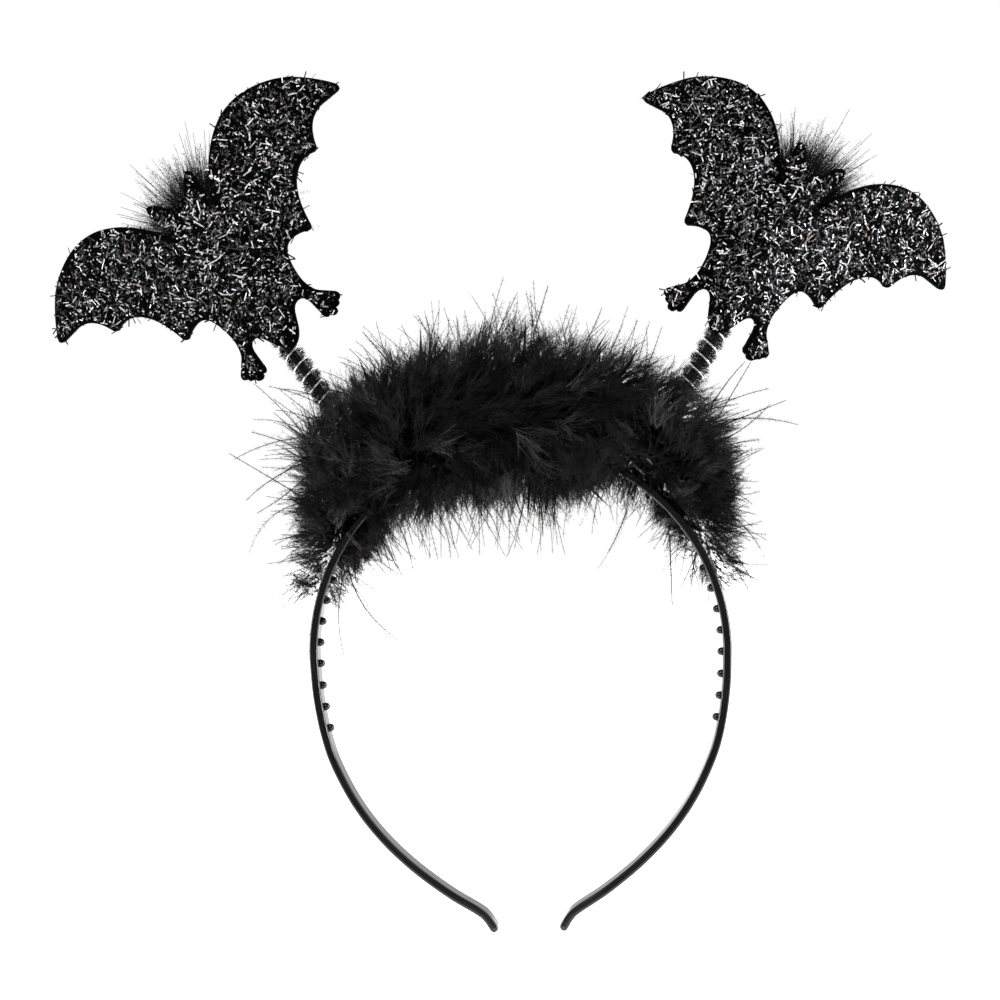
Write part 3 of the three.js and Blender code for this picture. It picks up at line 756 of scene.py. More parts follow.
def make_pile(side, rng):
    """A dark core with cut fibres standing out all round it, held in where the wire runs."""
    base, along, length = stem_line(side)
    lean = side["sign"] * math.radians(side["lean"])
    aside = np.array([math.cos(lean), 0.0, -math.sin(lean)])
    count = PILE_FIBRES
    height = rng.uniform(0, length, count)
    turn = rng.uniform(0, 2 * math.pi, count)
    outward = np.cos(turn)[:, None] * aside + np.sin(turn)[:, None] * BACKWARD
    turns = round(length / COIL_PITCH)
    passed = height / length * turns + side["sign"] * turn / (2 * math.pi)
    from_wire = 2 * np.abs((passed + 0.5) % 1.0 - 0.5)
    reach = PILE_REACH * (PILE_AT_WIRE + PILE_SWELL * from_wire) * rng.uniform(*PILE_UNEVEN, count)
    lean_out = rng.normal(0, PILE_LEAN, (count, 1)) * along
    lean_out = lean_out + rng.normal(0, PILE_LEAN, (count, 1)) * np.cross(outward, along)
    root_radius = PILE_CORE_RADIUS * PILE_ROOT
    root = base + height[:, None] * along + outward * root_radius
    tip = root + unit(outward + lean_out) * (reach - root_radius)[:, None]
    width = across(outward, rng) * PILE_FIBRE_WIDTH / 2
    points = np.stack([root, tip + width, tip - width], 1).reshape(-1, 3)
    fibres = np.arange(count * 3).reshape(-1, 3)

    share = np.linspace(0, 1, PILE_CORE_STEPS)[:, None, None]
    corner = 2 * math.pi * np.arange(PILE_CORE_SIDES) / PILE_CORE_SIDES
    circle = np.cos(corner)[:, None] * aside + np.sin(corner)[:, None] * BACKWARD
    rings = base + along * length * share + circle * PILE_CORE_RADIUS
    points, faces = merge([(points, [fibres]), loft(rings)])
    mesh_piece(f"stem_fibres_{side['name']}", points, faces, ["pile_fibre"],
               [f"stem_pile_{side['name']}"])


# Feathers

def ribbons(path, flat, width, tip_share):
    """Thin ribbons along paths given as an array (ribbon, step, 3), narrower to their tips."""
    count, steps = path.shape[:2]
    taper = 1 - (1 - tip_share) * np.linspace(0, 1, steps)
    half = flat[:, None] * (width / 2 * taper)[None, :, None]
    points = np.stack([path - half, path + half], 2).reshape(-1, 3)
    first = ((np.arange(count) * steps * 2)[:, None] + np.arange(steps - 1) * 2).ravel()
    return points, [np.stack([first, first + 1, first + 3, first + 2], -1)]


def barbs(root, direction, curl, length, width, rng, pairs=BARBULE_PAIRS, fluff=1.0, quill=False):
    """Barbs as thin ribbons, two crossed for a quill, each with pairs of slanting barbules.

    root, direction and curl are (n, 3) arrays and length is (n,).
    """
    count = len(root)
    share = np.linspace(0, 1, QUILL_POINTS if quill else BARB_POINTS)
    reach = length[:, None, None]
    path = root[:, None] + reach * (
        direction[:, None] * share[None, :, None] + curl[:, None] * share[None, :, None] ** 2
    )
    flat = across(direction, rng)
    stalks = [ribbons(path, flat, width, QUILL_TIP if quill else BARB_TIP)]
    if quill:
        stalks.append(ribbons(path, unit(np.cross(direction, flat)), width, QUILL_TIP))

    place = (np.arange(pairs) + 0.7) / (pairs + 0.5)
    place = np.clip(place[None] + rng.uniform(-0.3, 0.3, (count, pairs)) / pairs, 0.02, 0.99)
    base = root[:, None] + reach * (
        direction[:, None] * place[..., None] + curl[:, None] * place[..., None] ** 2
    )
    tangent = unit(direction[:, None] + 2 * curl[:, None] * place[..., None])
    side = unit(np.cross(tangent, flat[:, None] + rng.normal(0, 0.5, (count, pairs, 3))))
    size = BARBULE_LENGTH * fluff * np.sqrt(length / FULL_BARB)[:, None]
    size = size * (1.05 - (QUILL_FADE if quill else BARB_FADE) * place)
    size = size * rng.uniform(*BARBULE_UNEVEN, (count, pairs))
    widen = QUILL_SPREAD if quill else 1.0
    slant = rng.uniform(*BARBULE_SLANT, (count, pairs, 1)) * widen
    triangles = []
    for hand in (-1, 1):
        tip = base + size[..., None] * unit(tangent + hand * slant * side)
        tip = tip + rng.normal(0, BARBULE_TIP_SCATTER, tip.shape)
        foot = tangent * BARBULE_WIDTH / 2 * widen
        triangles.append(np.stack([base - foot, base + foot, tip], 2).reshape(-1, 3))
    triangles = np.concatenate(triangles)
    faces = np.arange(len(triangles)).reshape(-1, 3)
    return merge(stalks + [(triangles, [faces])])


def smooth_field(rng, waves=7, scale=3.0):
    """A smooth wandering value over a boa's angle and turn."""
    pull = rng.normal(0, scale, (waves, 2))
    phase = rng.uniform(0, 2 * math.pi, waves)

    def value(angle, turn):
        total = sum(
            np.sin(p[0] * angle * 2.2 + round(p[1] / scale) * turn + f)
            for p, f in zip(pull, phase)
        )
        return total / math.sqrt(waves)
    return value


def boa_section(angle):
    """Outward direction, centre, half reach and half depth of the boa at angles in radians."""
    degrees = np.degrees(angle)
    rows = {key: np.array([row[key] for row in BOA_PROFILE], float) for key in BOA_PROFILE[0]}
    out, inward, depth = (
        np.interp(degrees, rows["angle"], rows[key]) * MILLIMETRE for key in ("out", "inward", "depth")
    )
    outward = radial(angle)
    centre = BAND_CENTRE + outward * (BAND_RADIUS + (out - inward) / 2)[..., None]
    return outward, centre, (out + inward) / 2, depth


def bare_share(angle):
    """0 where feathers wrap the band, 1 where its front edge is bare."""
    degrees = np.degrees(angle)
    left = np.clip((-degrees - BARE_FROM_LEFT) / BARE_BLEND + 0.5, 0, 1)
    right = np.clip((degrees - BARE_FROM_RIGHT) / BARE_BLEND + 0.5, 0, 1)
    return np.maximum(left, right)


def in_front_of_band(points):
    """True for points that would hide the band's bare front edge."""
    relative = points - BAND_CENTRE
    distance = np.hypot(relative[..., 0], relative[..., 2]) - BAND_RADIUS
    angle = np.arctan2(relative[..., 0], relative[..., 2])
    near = (distance > BARE_NEAR[0]) & (distance < BARE_NEAR[1])
    return near & (points[..., 1] < BARE_FRONT) & (bare_share(angle) > 0.5)


def boa_places(angle, turn):
    """Surface frame of the boa at angles along it and turns round its section."""
    outward, centre, half_reach, half_depth = boa_section(angle)
    along = np.stack([outward[:, 2], np.zeros(len(angle)), -outward[:, 0]], -1)
    reach, back = np.cos(turn), np.sin(turn)
    ring = (reach * half_reach)[:, None] * outward + (back * half_depth)[:, None] * BACKWARD
    normal = unit((reach / half_reach)[:, None] * outward + (back / half_depth)[:, None] * BACKWARD)
    return centre, ring, normal, outward, along


def spread_places(count, rng):
    """Angles and turns spread over the boa's surface, denser where it is thicker."""
    low, high = (math.radians(BOA_PROFILE[k]["angle"]) for k in (0, -1))
    fine = np.linspace(low, high, PLACE_STEPS)
    outward, centre, half_reach, half_depth = boa_section(fine)
    end_slope = np.exp(-((np.abs(np.degrees(fine)) - END_SLOPE_AT) / END_SLOPE_WIDTH) ** 2)
    weight = np.cumsum((half_reach + half_depth) ** PLACE_POWER * (1 + END_SLOPE_EXTRA * end_slope))
    angle = np.interp((np.arange(count) + 0.5) / count * weight[-1], weight, fine)
    turn = 2 * math.pi * ((np.arange(count) * GOLDEN) % 1.0)
    return angle + rng.normal(0, ANGLE_SCATTER, count), turn + rng.normal(0, TURN_SCATTER, count)


def end_lean(angle):
    """How strongly feathers lean along the boa towards its nearer end."""
    share = np.abs(np.degrees(angle)) / END_LEAN_AT
    return np.sign(angle) * (0.25 * share + 0.75 * np.clip(share - 0.75, 0, 1))


def boa_flow(places, turn, angle, swirls, rng):
    """The way that the feathers lie: out from the body and swept over its surface in swirls."""
    centre, ring, normal, outward, along = places
    swirl_along, swirl_out = swirls
    facing = np.abs(normal[:, 1])
    pull = np.cos(turn) * FLOW_OUTWARD + FLOW_RISE + FLOW_SWIRL_OUT * swirl_out(angle, turn)
    sweep = end_lean(angle) + FLOW_SWIRL_ALONG * swirl_along(angle, turn)
    flow = pull[:, None] * outward + sweep[:, None] * along
    flow = unit(flow - (flow * normal).sum(1, keepdims=True) * normal)
    aim = normal * (0.75 - 0.4 * facing)[:, None] + flow * (0.55 + 0.45 * facing)[:, None]
    return unit(aim + rng.normal(0, FLOW_SCATTER, normal.shape))


def end_share(angle):
    """How far towards the boa's ends, 0 in its body to 1."""
    return np.clip((np.abs(np.degrees(angle)) - SHORTER_FROM) / SHORTER_OVER, 0, 1)


def boa_locks(swirls, rng):
    """Pointed dark locks that fill the body out to its dense edge."""
    ragged = smooth_field(rng, waves=9, scale=4.0)
    angle, turn = spread_places(BOA_LOCKS, rng)
    places = boa_places(angle, turn)
    centre, ring = places[:2]
    aim = boa_flow(places, turn, angle, swirls, rng)
    size = np.linalg.norm(ring, axis=1)
    depth = rng.uniform(*LOCK_DEPTH, BOA_LOCKS)
    edge = rng.uniform(*LOCK_EDGE, BOA_LOCKS) + LOCK_RAGGED * ragged(angle * 3, turn)
    edge = edge * (1 - LOCK_END_LOSS * end_share(angle))
    climb = np.clip((aim * ring).sum(1) / size, 0.5, 1.0)
    length = size * (edge - depth) / climb
    start = centre + ring * depth[:, None]
    bend = across(aim, rng) * rng.uniform(*LOCK_BEND, (BOA_LOCKS, 1))
    start, aim, bend = sent_behind(start, aim, bend, length)
    keep = kept_clear(start, aim, bend, length)
    start, aim, bend, length = start[keep], aim[keep], bend[keep], length[keep]
    share = np.arange(BOA_LOCK_STEPS) / BOA_LOCK_STEPS
    path = start[:, None] + length[:, None, None] * (
        aim[:, None] * share[None, :, None] + bend[:, None] * share[None, :, None] ** 2
    )
    tip = start + length[:, None] * (aim + bend)
    side = across(aim, rng)
    other = np.cross(aim, side)
    turns = 2 * math.pi * np.arange(BOA_LOCK_SIDES) / BOA_LOCK_SIDES
    circle = np.cos(turns)[:, None] * side[:, None] + np.sin(turns)[:, None] * other[:, None]
    radius = BOA_LOCK_RADIUS * np.clip(length / FULL_LOCK, 0.35, 1.0)[:, None] * (1 - share) ** 0.7
    rings = path[:, :, None] + circle[:, None] * radius[:, :, None, None]
    count = len(start)
    points = np.concatenate([rings.reshape(-1, 3), tip])
    each = BOA_LOCK_STEPS * BOA_LOCK_SIDES
    first = np.arange(count)[:, None, None] * each
    row = np.arange(BOA_LOCK_STEPS - 1)[None, :, None] * BOA_LOCK_SIDES
    corner = np.arange(BOA_LOCK_SIDES)
    following = (corner + 1) % BOA_LOCK_SIDES
    a, b = first + row + corner, first + row + following
    quads = np.stack([a, b, b + BOA_LOCK_SIDES, a + BOA_LOCK_SIDES], -1).reshape(-1, 4)
    last = first[:, 0] + each - BOA_LOCK_SIDES
    ends = np.broadcast_to((count * each + np.arange(count))[:, None], (count, BOA_LOCK_SIDES))
    caps = np.stack([last + corner, last + following, ends], -1).reshape(-1, 3)
    return points, [quads, caps]


def boa_down(swirls, rng):
    """Roots, directions, curls, lengths and shades of the short barbs that make the body."""
    angle, turn = spread_places(BOA_PLUMES, rng)
    count = BOA_PLUMES
    places = boa_places(angle, turn)
    centre, ring, normal, outward, along = places
    facing = np.abs(normal[:, 1])
    aim = boa_flow(places, turn, angle, swirls, rng)
    depth = rng.uniform(*DOWN_DEPTH, count) * (1 - DOWN_END_LOSS * end_share(angle))
    root = centre + ring * depth[:, None]
    quill = rng.uniform(*DOWN_PLUME, count)
    bend = across(aim, rng) * rng.uniform(*DOWN_PLUME_BEND, (count, 1))
    shade = rng.choice(len(BOA_SHADES), count, p=BOA_SHADE_CHANCES)

    rows = np.repeat(np.arange(count), BOA_BARBS)
    total = len(rows)
    share = rng.uniform(0.0, 1.0, total)
    start = root[rows] + quill[rows, None] * (
        aim[rows] * share[:, None] + bend[rows] * share[:, None] ** 2
    )
    start = start + rng.normal(0, DOWN_ROOT_SCATTER, (total, 3))
    tangent = unit(aim[rows] + 2 * bend[rows] * share[:, None])
    vane = across(aim, rng)[rows] * rng.choice([-1, 1], (total, 1)) + rng.normal(0, 0.5, (total, 3))
    vane = unit(vane - (vane * tangent).sum(1, keepdims=True) * tangent)
    opening = np.radians(rng.uniform(*DOWN_OPENING, total)) * (1.1 - 0.5 * share)
    direction = tangent * np.cos(opening)[:, None] + vane * np.sin(opening)[:, None]
    length = (DOWN_LENGTH + DOWN_FACING_LENGTH * facing[rows]) * rng.uniform(*DOWN_UNEVEN, total)
    length = length * np.clip(np.linalg.norm(ring, axis=1)[rows] / DOWN_FULL_SECTION, 0.5, 1.0)
    curl = tangent * 0.1 + across(direction, rng) * rng.uniform(*DOWN_CURL, (total, 1))
    return start, direction, curl, length, shade[rows]


def boa_fronds(rng):
    """Longer barbs that stand out beyond the body in small groups that fan apart."""
    angle, turn = spread_places(BOA_FROND_GROUPS, rng)
    centre, ring, normal, outward, along = boa_places(angle, turn)
    lean = end_lean(angle) + rng.normal(0, FROND_LEAN, len(angle))
    aim = unit(normal + along * lean[:, None] + rng.normal(0, FROND_SCATTER, normal.shape))
    root = centre + ring * rng.uniform(*FROND_DEPTH, (len(angle), 1))
    rows = np.repeat(np.arange(len(angle)), BOA_FRONDS_PER_GROUP)
    count = len(rows)
    direction = unit(aim[rows] + rng.normal(0, FROND_FAN, (count, 3)))
    size = np.clip(np.linalg.norm(ring, axis=1) / FROND_FULL_SECTION, 0.6, 1.0)[rows]
    length = rng.uniform(*FROND_LENGTH, count) * size
    curl = across(direction, rng) * rng.uniform(*FROND_CURL, (count, 1)) - [0, 0, FROND_DROOP]
    start = root[rows] + rng.normal(0, FROND_ROOT_SCATTER, (count, 3))
    return start, direction, curl, length


def sent_behind(start, direction, curl, length):
    """Feathers that would cross the band's bare front edge, moved to pass behind it."""
    crossing = ~kept_clear(start, direction, curl, length)
    moved = [vectors.copy() for vectors in (start, direction, curl)]
    for vectors in moved:
        vectors[crossing, 1] = np.abs(vectors[crossing, 1])
    moved[0][crossing, 1] = moved[0][crossing, 1] * BEHIND_SHARE + BEHIND_CLEAR
    return moved


def kept_clear(start, direction, curl, length):
    """True for barbs that stay off the band's bare front edge."""
    share = np.linspace(0.1, 1.2, 6)[None, :, None]
    reach = length[:, None, None]
    path = start[:, None] + reach * (direction[:, None] * share + curl[:, None] * share ** 2)
    return ~in_front_of_band(path).any(1)


def make_boa(rng):
    swirls = smooth_field(rng), smooth_field(rng)
    points, faces = boa_locks(swirls, rng)
    mesh_piece("boa_locks", points, faces, ["feather_black"], smooth=True)
    start, direction, curl, length, shade = boa_down(swirls, rng)
    start, direction, curl = sent_behind(start, direction, curl, length)
    keep = kept_clear(start, direction, curl, length)
    start, direction, curl = start[keep], direction[keep], curl[keep]
    length, shade = length[keep], shade[keep]
    order = rng.permutation(len(start))
    for part, rows in enumerate(np.array_split(order, BOA_PARTS)):
        sets = []
        for chosen in (rows[shade[rows] == look] for look in range(len(BOA_SHADES))):
            sets.append(barbs(start[chosen], direction[chosen], curl[chosen], length[chosen],
                              BARB_WIDTH, rng))
        points, faces = merge(sets)
        mesh_piece(f"boa_down_{part + 1}", points, faces, BOA_SHADES,
                   indices=shade_indices(sets, faces))
    root, direction, curl, length = boa_fronds(rng)
    keep = kept_clear(root, direction, curl, length)
    fronds = barbs(root[keep], direction[keep], curl[keep], length[keep], BOA_QUILL_WIDTH, rng,
                   pairs=FROND_PAIRS, fluff=FROND_FLUFF, quill=True)
    points, faces = merge([fronds, long_quills(rng)])
    mesh_piece("boa_fronds", points, faces, ["feather_black"])


def long_quills(rng):
    """The few quills that stand far out, each with sparse barbules."""
    rows = {key: np.array([row[key] for row in LONG_QUILLS], float) * MILLIMETRE
            for key in ("root", "tip", "rise")}
    count = len(LONG_QUILLS)
    front = rng.uniform(*LONG_QUILL_FRONT, count)
    root = np.stack([rows["root"][:, 0], front, rows["root"][:, 1]], -1)
    sway = rng.uniform(*LONG_QUILL_SWAY, count)
    run = np.stack([rows["tip"][:, 0], front + sway, rows["tip"][:, 1]], -1) - root
    length = np.linalg.norm(run, axis=1)
    lift = np.cross(run, BACKWARD)
    lift = unit(lift * np.sign(lift[:, 2:])) * (4 * rows["rise"] / length)[:, None]
    direction, curl = run / length[:, None] + lift, -lift
    return barbs(root, direction, curl, length, LONG_QUILL_WIDTH, rng,
                 pairs=LONG_QUILL_PAIRS, fluff=LONG_QUILL_FLUFF, quill=True)


def make_cord_ends(rng):
    """The boa's cord where it ends on the left: a frayed knot, and a thread curled into a ring."""
    count = KNOT_FIBRES
    middle = np.array(KNOT_PLACE) * MILLIMETRE
    outward = random_units(rng, count)
    root = middle + outward * KNOT_RADIUS * 0.5
    tip = middle + outward * (KNOT_RADIUS * rng.uniform(0.8, 1.25, (count, 1)))
    width = across(outward, rng) * KNOT_FIBRE_WIDTH
    frayed = np.stack([root - width, root + width, tip + width], 1).reshape(-1, 3)
    turns = np.linspace(0, 2 * math.pi * RING_TURNS, RING_STEPS)
    size = RING_RADIUS * (1 - 0.25 * turns / turns[-1])
    path = np.array(RING_PLACE) * MILLIMETRE + np.stack(
        [size * np.cos(turns), RING_LIFT * np.sin(3 * turns), size * np.sin(turns)], -1
    )
    outward = unit(path - path.mean(0))
    corner = 2 * math.pi * np.arange(CORD_SIDES) / CORD_SIDES
    rings = path[:, None] + RING_THREAD_RADIUS * (
        np.cos(corner)[None, :, None] * outward[:, None] + np.sin(corner)[None, :, None] * BACKWARD
    )
    knot = (frayed, [np.arange(count * 3).reshape(-1, 3)])
    start = np.array(CORD_START) * MILLIMETRE
    share = np.linspace(0, 1, CORD_STEPS)[:, None]
    cord = start + (middle - start) * share - BACKWARD * CORD_SAG * share * (1 - share)
    onward = unit(middle - start)
    side = unit(np.cross(onward, BACKWARD))
    circle = np.cos(corner)[:, None] * side + np.sin(corner)[:, None] * np.cross(onward, side)
    points, faces = merge([knot, loft(rings), loft(cord[:, None] + CORD_RADIUS * circle)])
    mesh_piece("boa_cord_ends", points, faces, ["cord_grey"])


def shade_indices(sets, faces):
    """Material index of each merged face: the set that it came from, by its first point."""
    ends = np.cumsum([0] + [len(points) for points, part_faces in sets])
    first = np.concatenate([group[:, 0] for group in faces])
    return np.searchsorted(ends, first, side="right") - 1


def make_boa_core(rng):
    """Dark body that the feathers stand on, moved to the band's outer side where that is bare; darker
    and duller than the feathers, as painted shade of the boa's dense inside.
    """
    steps, sides = BOA_CORE_STEPS, BOA_CORE_SIDES
    low, high = BOA_CORE_ENDS
    angle = np.radians(np.linspace(low, high, steps))
    outward, centre, half_reach, half_depth = boa_section(angle)
    turn = 2 * math.pi * np.arange(sides) / sides
    bare = bare_share(angle)
    wander, ripple = smooth_field(rng, scale=5.0), smooth_field(rng, waves=12, scale=14.0)
    middle_reach = np.linalg.norm(centre - BAND_CENTRE, axis=1) - BAND_RADIUS
    outer = middle_reach + BOA_CORE * half_reach
    inner = (middle_reach - BOA_CORE * half_reach) * (1 - bare) + BOA_CORE_OFF_BAND * bare
    thick = (outer - inner) / 2
    deep = BOA_CORE * half_depth * (1 - 0.25 * bare)
    middle = BAND_CENTRE + outward * (BAND_RADIUS + (outer + inner) / 2)[:, None]
    end = np.sqrt(np.clip(1 - np.linspace(-1, 1, steps) ** 6, 0.01, 1))
    rough = 1 + 0.06 * wander(angle[:, None], turn[None]) + 0.04 * ripple(angle[:, None], turn[None])
    rough = 1 + (rough - 1 + rng.normal(0, 0.02, (steps, sides))) * (1 - 0.8 * bare)[:, None]
    size = rough * end[:, None]
    rings = middle[:, None] + (
        (np.cos(turn)[None] * size * thick[:, None])[..., None] * outward[:, None]
        + (np.sin(turn)[None] * size * deep[:, None])[..., None] * BACKWARD
    )
    points, faces = loft(rings)
    mesh_piece("boa_body", points, faces, ["feather_core"], ["feather_boa"], smooth=True)


# Bats

def bat_matrix(side):
    """From a bat's own upright frame, with its tail end at the origin, to the part's frame."""
    base, along, length = stem_line(side)
    return (
        Matrix.Translation(Vector(base))
        @ Matrix.Rotation(side["sign"] * math.radians(side["lean"]), 4, "Y")
        @ Matrix.Translation((0, 0, side["free"]))
        @ Matrix.Rotation(math.radians(side["turn"]), 4, "Z")
        @ Matrix.Translation((side["shift"], 0, 0))
        @ Matrix.Rotation(math.radians(side["tilt"]), 4, "Y")
    )


def fold_line_back(side):
    """Back of the fold line between the wings, as far forward as both need to clear the stem."""
    fold, tilt = math.radians(side["fold"]), math.radians(side["tilt"])
    aside = abs(side["shift"]) + STEM_BEHIND_BAT * abs(math.sin(tilt))
    room = COIL_RADIUS + WIRE_RADIUS + GAP + aside * math.sin(fold)
    return -room / math.cos(fold)


def bat_outline():
    """Right half of the outline from tail to head, with its curves in short steps."""
    size = np.array([BAT_HALF_SPAN, BAT_HEIGHT])
    points = [np.zeros(2)]
    for row in BAT_OUTLINE:
        start, end = points[-1], np.array(row["to"]) * size
        if row["bend"] is None:
            points.append(end)
            continue
        bend = np.array(row["bend"]) * size
        around = np.linalg.norm(bend - start) + np.linalg.norm(end - bend)
        steps = max(3, round(around / BAT_CURVE_STEP))
        for t in np.arange(1, steps + 1) / steps:
            points.append(start * (1 - t) ** 2 + 2 * bend * t * (1 - t) + end * t ** 2)
    return np.array(points)


def outline_inward(points):
    """Unit directions that point into the plate at each outline point."""
    run = unit(np.gradient(points, axis=0))
    inward = np.stack([-run[:, 1], run[:, 0]], -1)
    inward[0], inward[-1] = (0, 1), (0, -1)
    return inward


class Fold:
    """Places points given across, up and in from the front face of a folded bat."""

    def __init__(self, side):
        self.fold = math.radians(side["fold"])
        self.front = fold_line_back(side) - BAT_THICKNESS / math.cos(self.fold)
        self.matrix = np.array(bat_matrix(side))

    def place(self, across_up, depth):
        distance, up = np.abs(across_up[..., 0]), across_up[..., 1]
        hand = np.where(across_up[..., 0] < 0, -1.0, 1.0)
        x = distance * math.cos(self.fold) - depth * math.sin(self.fold)
        y = distance * math.sin(self.fold) + depth * math.cos(self.fold)
        middle = distance < 1e-7
        x = np.where(middle, 0.0, np.maximum(x, 0.0))
        y = np.where(middle, depth / math.cos(self.fold), y)
        local = np.stack([hand * x, y + self.front, up], -1)
        return local @ self.matrix[:3, :3].T + self.matrix[:3, 3]

    def front_normal(self, hand):
        """Direction out of the front face on the side of each hand, -1 or 1."""
        x = hand * math.sin(self.fold)
        local = np.stack([x, np.full_like(x, -math.cos(self.fold)), np.zeros_like(x)], -1)
        return local @ self.matrix[:3, :3].T


def make_plate(side, outline):
    """The foam plate with softly rounded rims."""
    fold = Fold(side)
    inward = outline_inward(outline)
    turns = np.linspace(0, math.pi / 2, BAT_RIM_STEPS)
    insets = np.concatenate([BAT_RIM * (1 - np.sin(turns)), BAT_RIM * (1 - np.cos(turns))])
    depths = np.concatenate([BAT_RIM * (1 - np.cos(turns)),
                             BAT_THICKNESS - BAT_RIM * (1 - np.sin(turns))])
    parts = []
    count = len(outline)
    flat = [Vector((*point, 0)) for point in outline + inward * BAT_RIM]
    cap = np.array(tessellate_polygon([flat]))
    for hand in (-1, 1):
        rings = [fold.place((outline + inward * inset) * [hand, 1], depth)
                 for inset, depth in zip(insets, depths)]
        row, step = np.meshgrid(np.arange(len(rings) - 1), np.arange(count - 1), indexing="ij")
        a = row * count + step
        quads = np.stack([a, a + 1, a + 1 + count, a + count], -1).reshape(-1, 4)
        parts.append((np.concatenate(rings), [quads, cap, cap[:, ::-1] + (len(rings) - 1) * count]))
    points, faces = merge(parts)
    mesh_piece(f"bat_foam_{side['name']}", points, faces, ["foam_black"],
               [f"bat_{side['name']}"])


def edge_distance(points, outline):
    """Distance of each point to the outline's nearest edge."""
    start, run = outline[:-1], np.diff(outline, axis=0)
    share = ((points[:, None] - start) * run).sum(2) / (run ** 2).sum(1)
    near = start + np.clip(share, 0, 1)[..., None] * run
    return np.linalg.norm(points[:, None] - near, axis=2).min(1)


def scatter(outline, count, rng):
    """Points spread over both halves of a bat, with their distance from its edge."""
    cap = np.array(tessellate_polygon([[Vector((*point, 0)) for point in outline]]))
    tri = outline[cap]
    a, b = tri[:, 1] - tri[:, 0], tri[:, 2] - tri[:, 0]
    area = np.abs(a[:, 0] * b[:, 1] - a[:, 1] * b[:, 0])
    chosen = rng.choice(len(area), count, p=area / area.sum())
    u, v = rng.random((2, count, 1))
    over = (u + v) > 1
    u, v = np.where(over, 1 - u, u), np.where(over, 1 - v, v)
    points = tri[chosen, 0] + u * a[chosen] + v * b[chosen]
    margin = edge_distance(points, outline)
    return points * np.stack([rng.choice([-1, 1], count), np.ones(count)], -1), margin


def strips(centre, normal, rng, length, width, lift):
    """Small flat strips of tinsel that lie every way on a face, each a little tilted."""
    count = len(centre)
    direction = across(normal, rng)
    direction = unit(direction + normal * rng.normal(0, 0.1, (count, 1)))
    side = unit(np.cross(normal, direction) + normal * rng.normal(0, 0.3, (count, 1)))
    middle = centre + normal * lift[:, None]
    run, breadth = direction * length[:, None] / 2, side * width[:, None] / 2
    points = np.stack([
        middle - run - breadth, middle + run - breadth, middle + run + breadth, middle - run + breadth,
    ], 1).reshape(-1, 3)
    return points, [np.arange(count * 4).reshape(-1, 4)]


def make_bat(side, rng):
    outline = bat_outline()
    make_plate(side, outline)
    fold = Fold(side)
    parts, shades = [], []
    for depth, facing in ((0.0, 1), (BAT_THICKNESS, -1)):
        for layer in TINSEL_LAYERS:
            flat, margin = scatter(outline, layer["count"], rng)
            keep = margin > TINSEL_MARGIN * rng.uniform(0.5, 1.4, layer["count"])
            flat, margin = flat[keep], margin[keep]
            total = len(flat)
            centre = fold.place(flat, depth)
            normal = fold.front_normal(np.sign(flat[:, 0])) * facing
            length = rng.lognormal(math.log(TINSEL_LENGTH), TINSEL_LENGTH_SPREAD, total)
            length = np.clip(length, TINSEL_SHORTEST, layer["longest"])
            length = np.minimum(length, np.maximum(margin * 2.2, TINSEL_SHORT_AT_EDGE))
            width = rng.uniform(*TINSEL_WIDTH, total)
            lift = rng.uniform(*TINSEL_LIFT, total)
            parts.append(strips(centre, normal, rng, length, width, lift))
            # each strip's painted glint or painted shade, drawn at random
            shades.append(rng.choice(len(TINSEL_PAINTED_GLINTS), total, p=layer["chances"]))
    parts.append(overhangs(outline, fold, rng))
    shades.append(rng.choice(len(TINSEL_PAINTED_GLINTS), TINSEL_OVERHANGS, p=OVERHANG_CHANCES))
    parts.append(threads(outline, fold, rng))
    # the threads all take the grey painted half glint
    shades.append(np.ones(sum(len(faces) for faces in parts[-1][1]), int))
    points, faces = merge(parts)
    mesh_piece(f"bat_tinsel_{side['name']}", points, faces, TINSEL_PAINTED_GLINTS,
               indices=np.concatenate(shades))


def overhangs(outline, fold, rng):
    """A few strips that stick out past the plate's edge."""
    count = TINSEL_OVERHANGS
    chosen = rng.integers(1, len(outline) - 1, count)
    hand = rng.choice([-1.0, 1.0], count)
    edge = outline + outline_inward(outline) * OVERHANG_INSET
    flat = edge[chosen] * np.stack([hand, np.ones(count)], -1)
    centre = fold.place(flat, rng.uniform(0, BAT_THICKNESS, count))
    length = rng.uniform(*np.sqrt(OVERHANG_LENGTH), count) ** 2
    width = rng.uniform(*OVERHANG_WIDTH, count)
    return strips(centre, fold.front_normal(hand), rng, length, width, np.zeros(count))


def threads(outline, fold, rng):
    """Long thin curled threads that lie on the tinsel."""
    flat, margin = scatter(outline, TINSEL_THREADS * 3, rng)
    flat = flat[np.argsort(-margin)[:TINSEL_THREADS]]
    normal = fold.front_normal(np.sign(flat[:, 0]))
    heading = across(normal, rng)
    bend = rng.normal(0, THREAD_BEND, len(flat))
    path, place = [], fold.place(flat, 0.0) + normal * THREAD_LIFT
    for _ in range(THREAD_STEPS):
        path.append(place)
        bend = bend + rng.normal(0, THREAD_BEND, len(flat))
        turned = heading * np.cos(bend)[:, None] + np.cross(normal, heading) * np.sin(bend)[:, None]
        heading = unit(turned)
        place = place + heading * THREAD_STEP
    path = np.stack(path, 1)
    side = unit(np.cross(normal[:, None], np.gradient(path, axis=1))) * THREAD_HALF_WIDTH
    points = np.stack([path - side, path + side], 2).reshape(-1, 3)
    starts = (np.arange(len(flat)) * THREAD_STEPS * 2)[:, None]
    first = (starts + np.arange(THREAD_STEPS - 1) * 2).ravel()
    return points, [np.stack([first, first + 1, first + 3, first + 2], -1)]


# Tufts

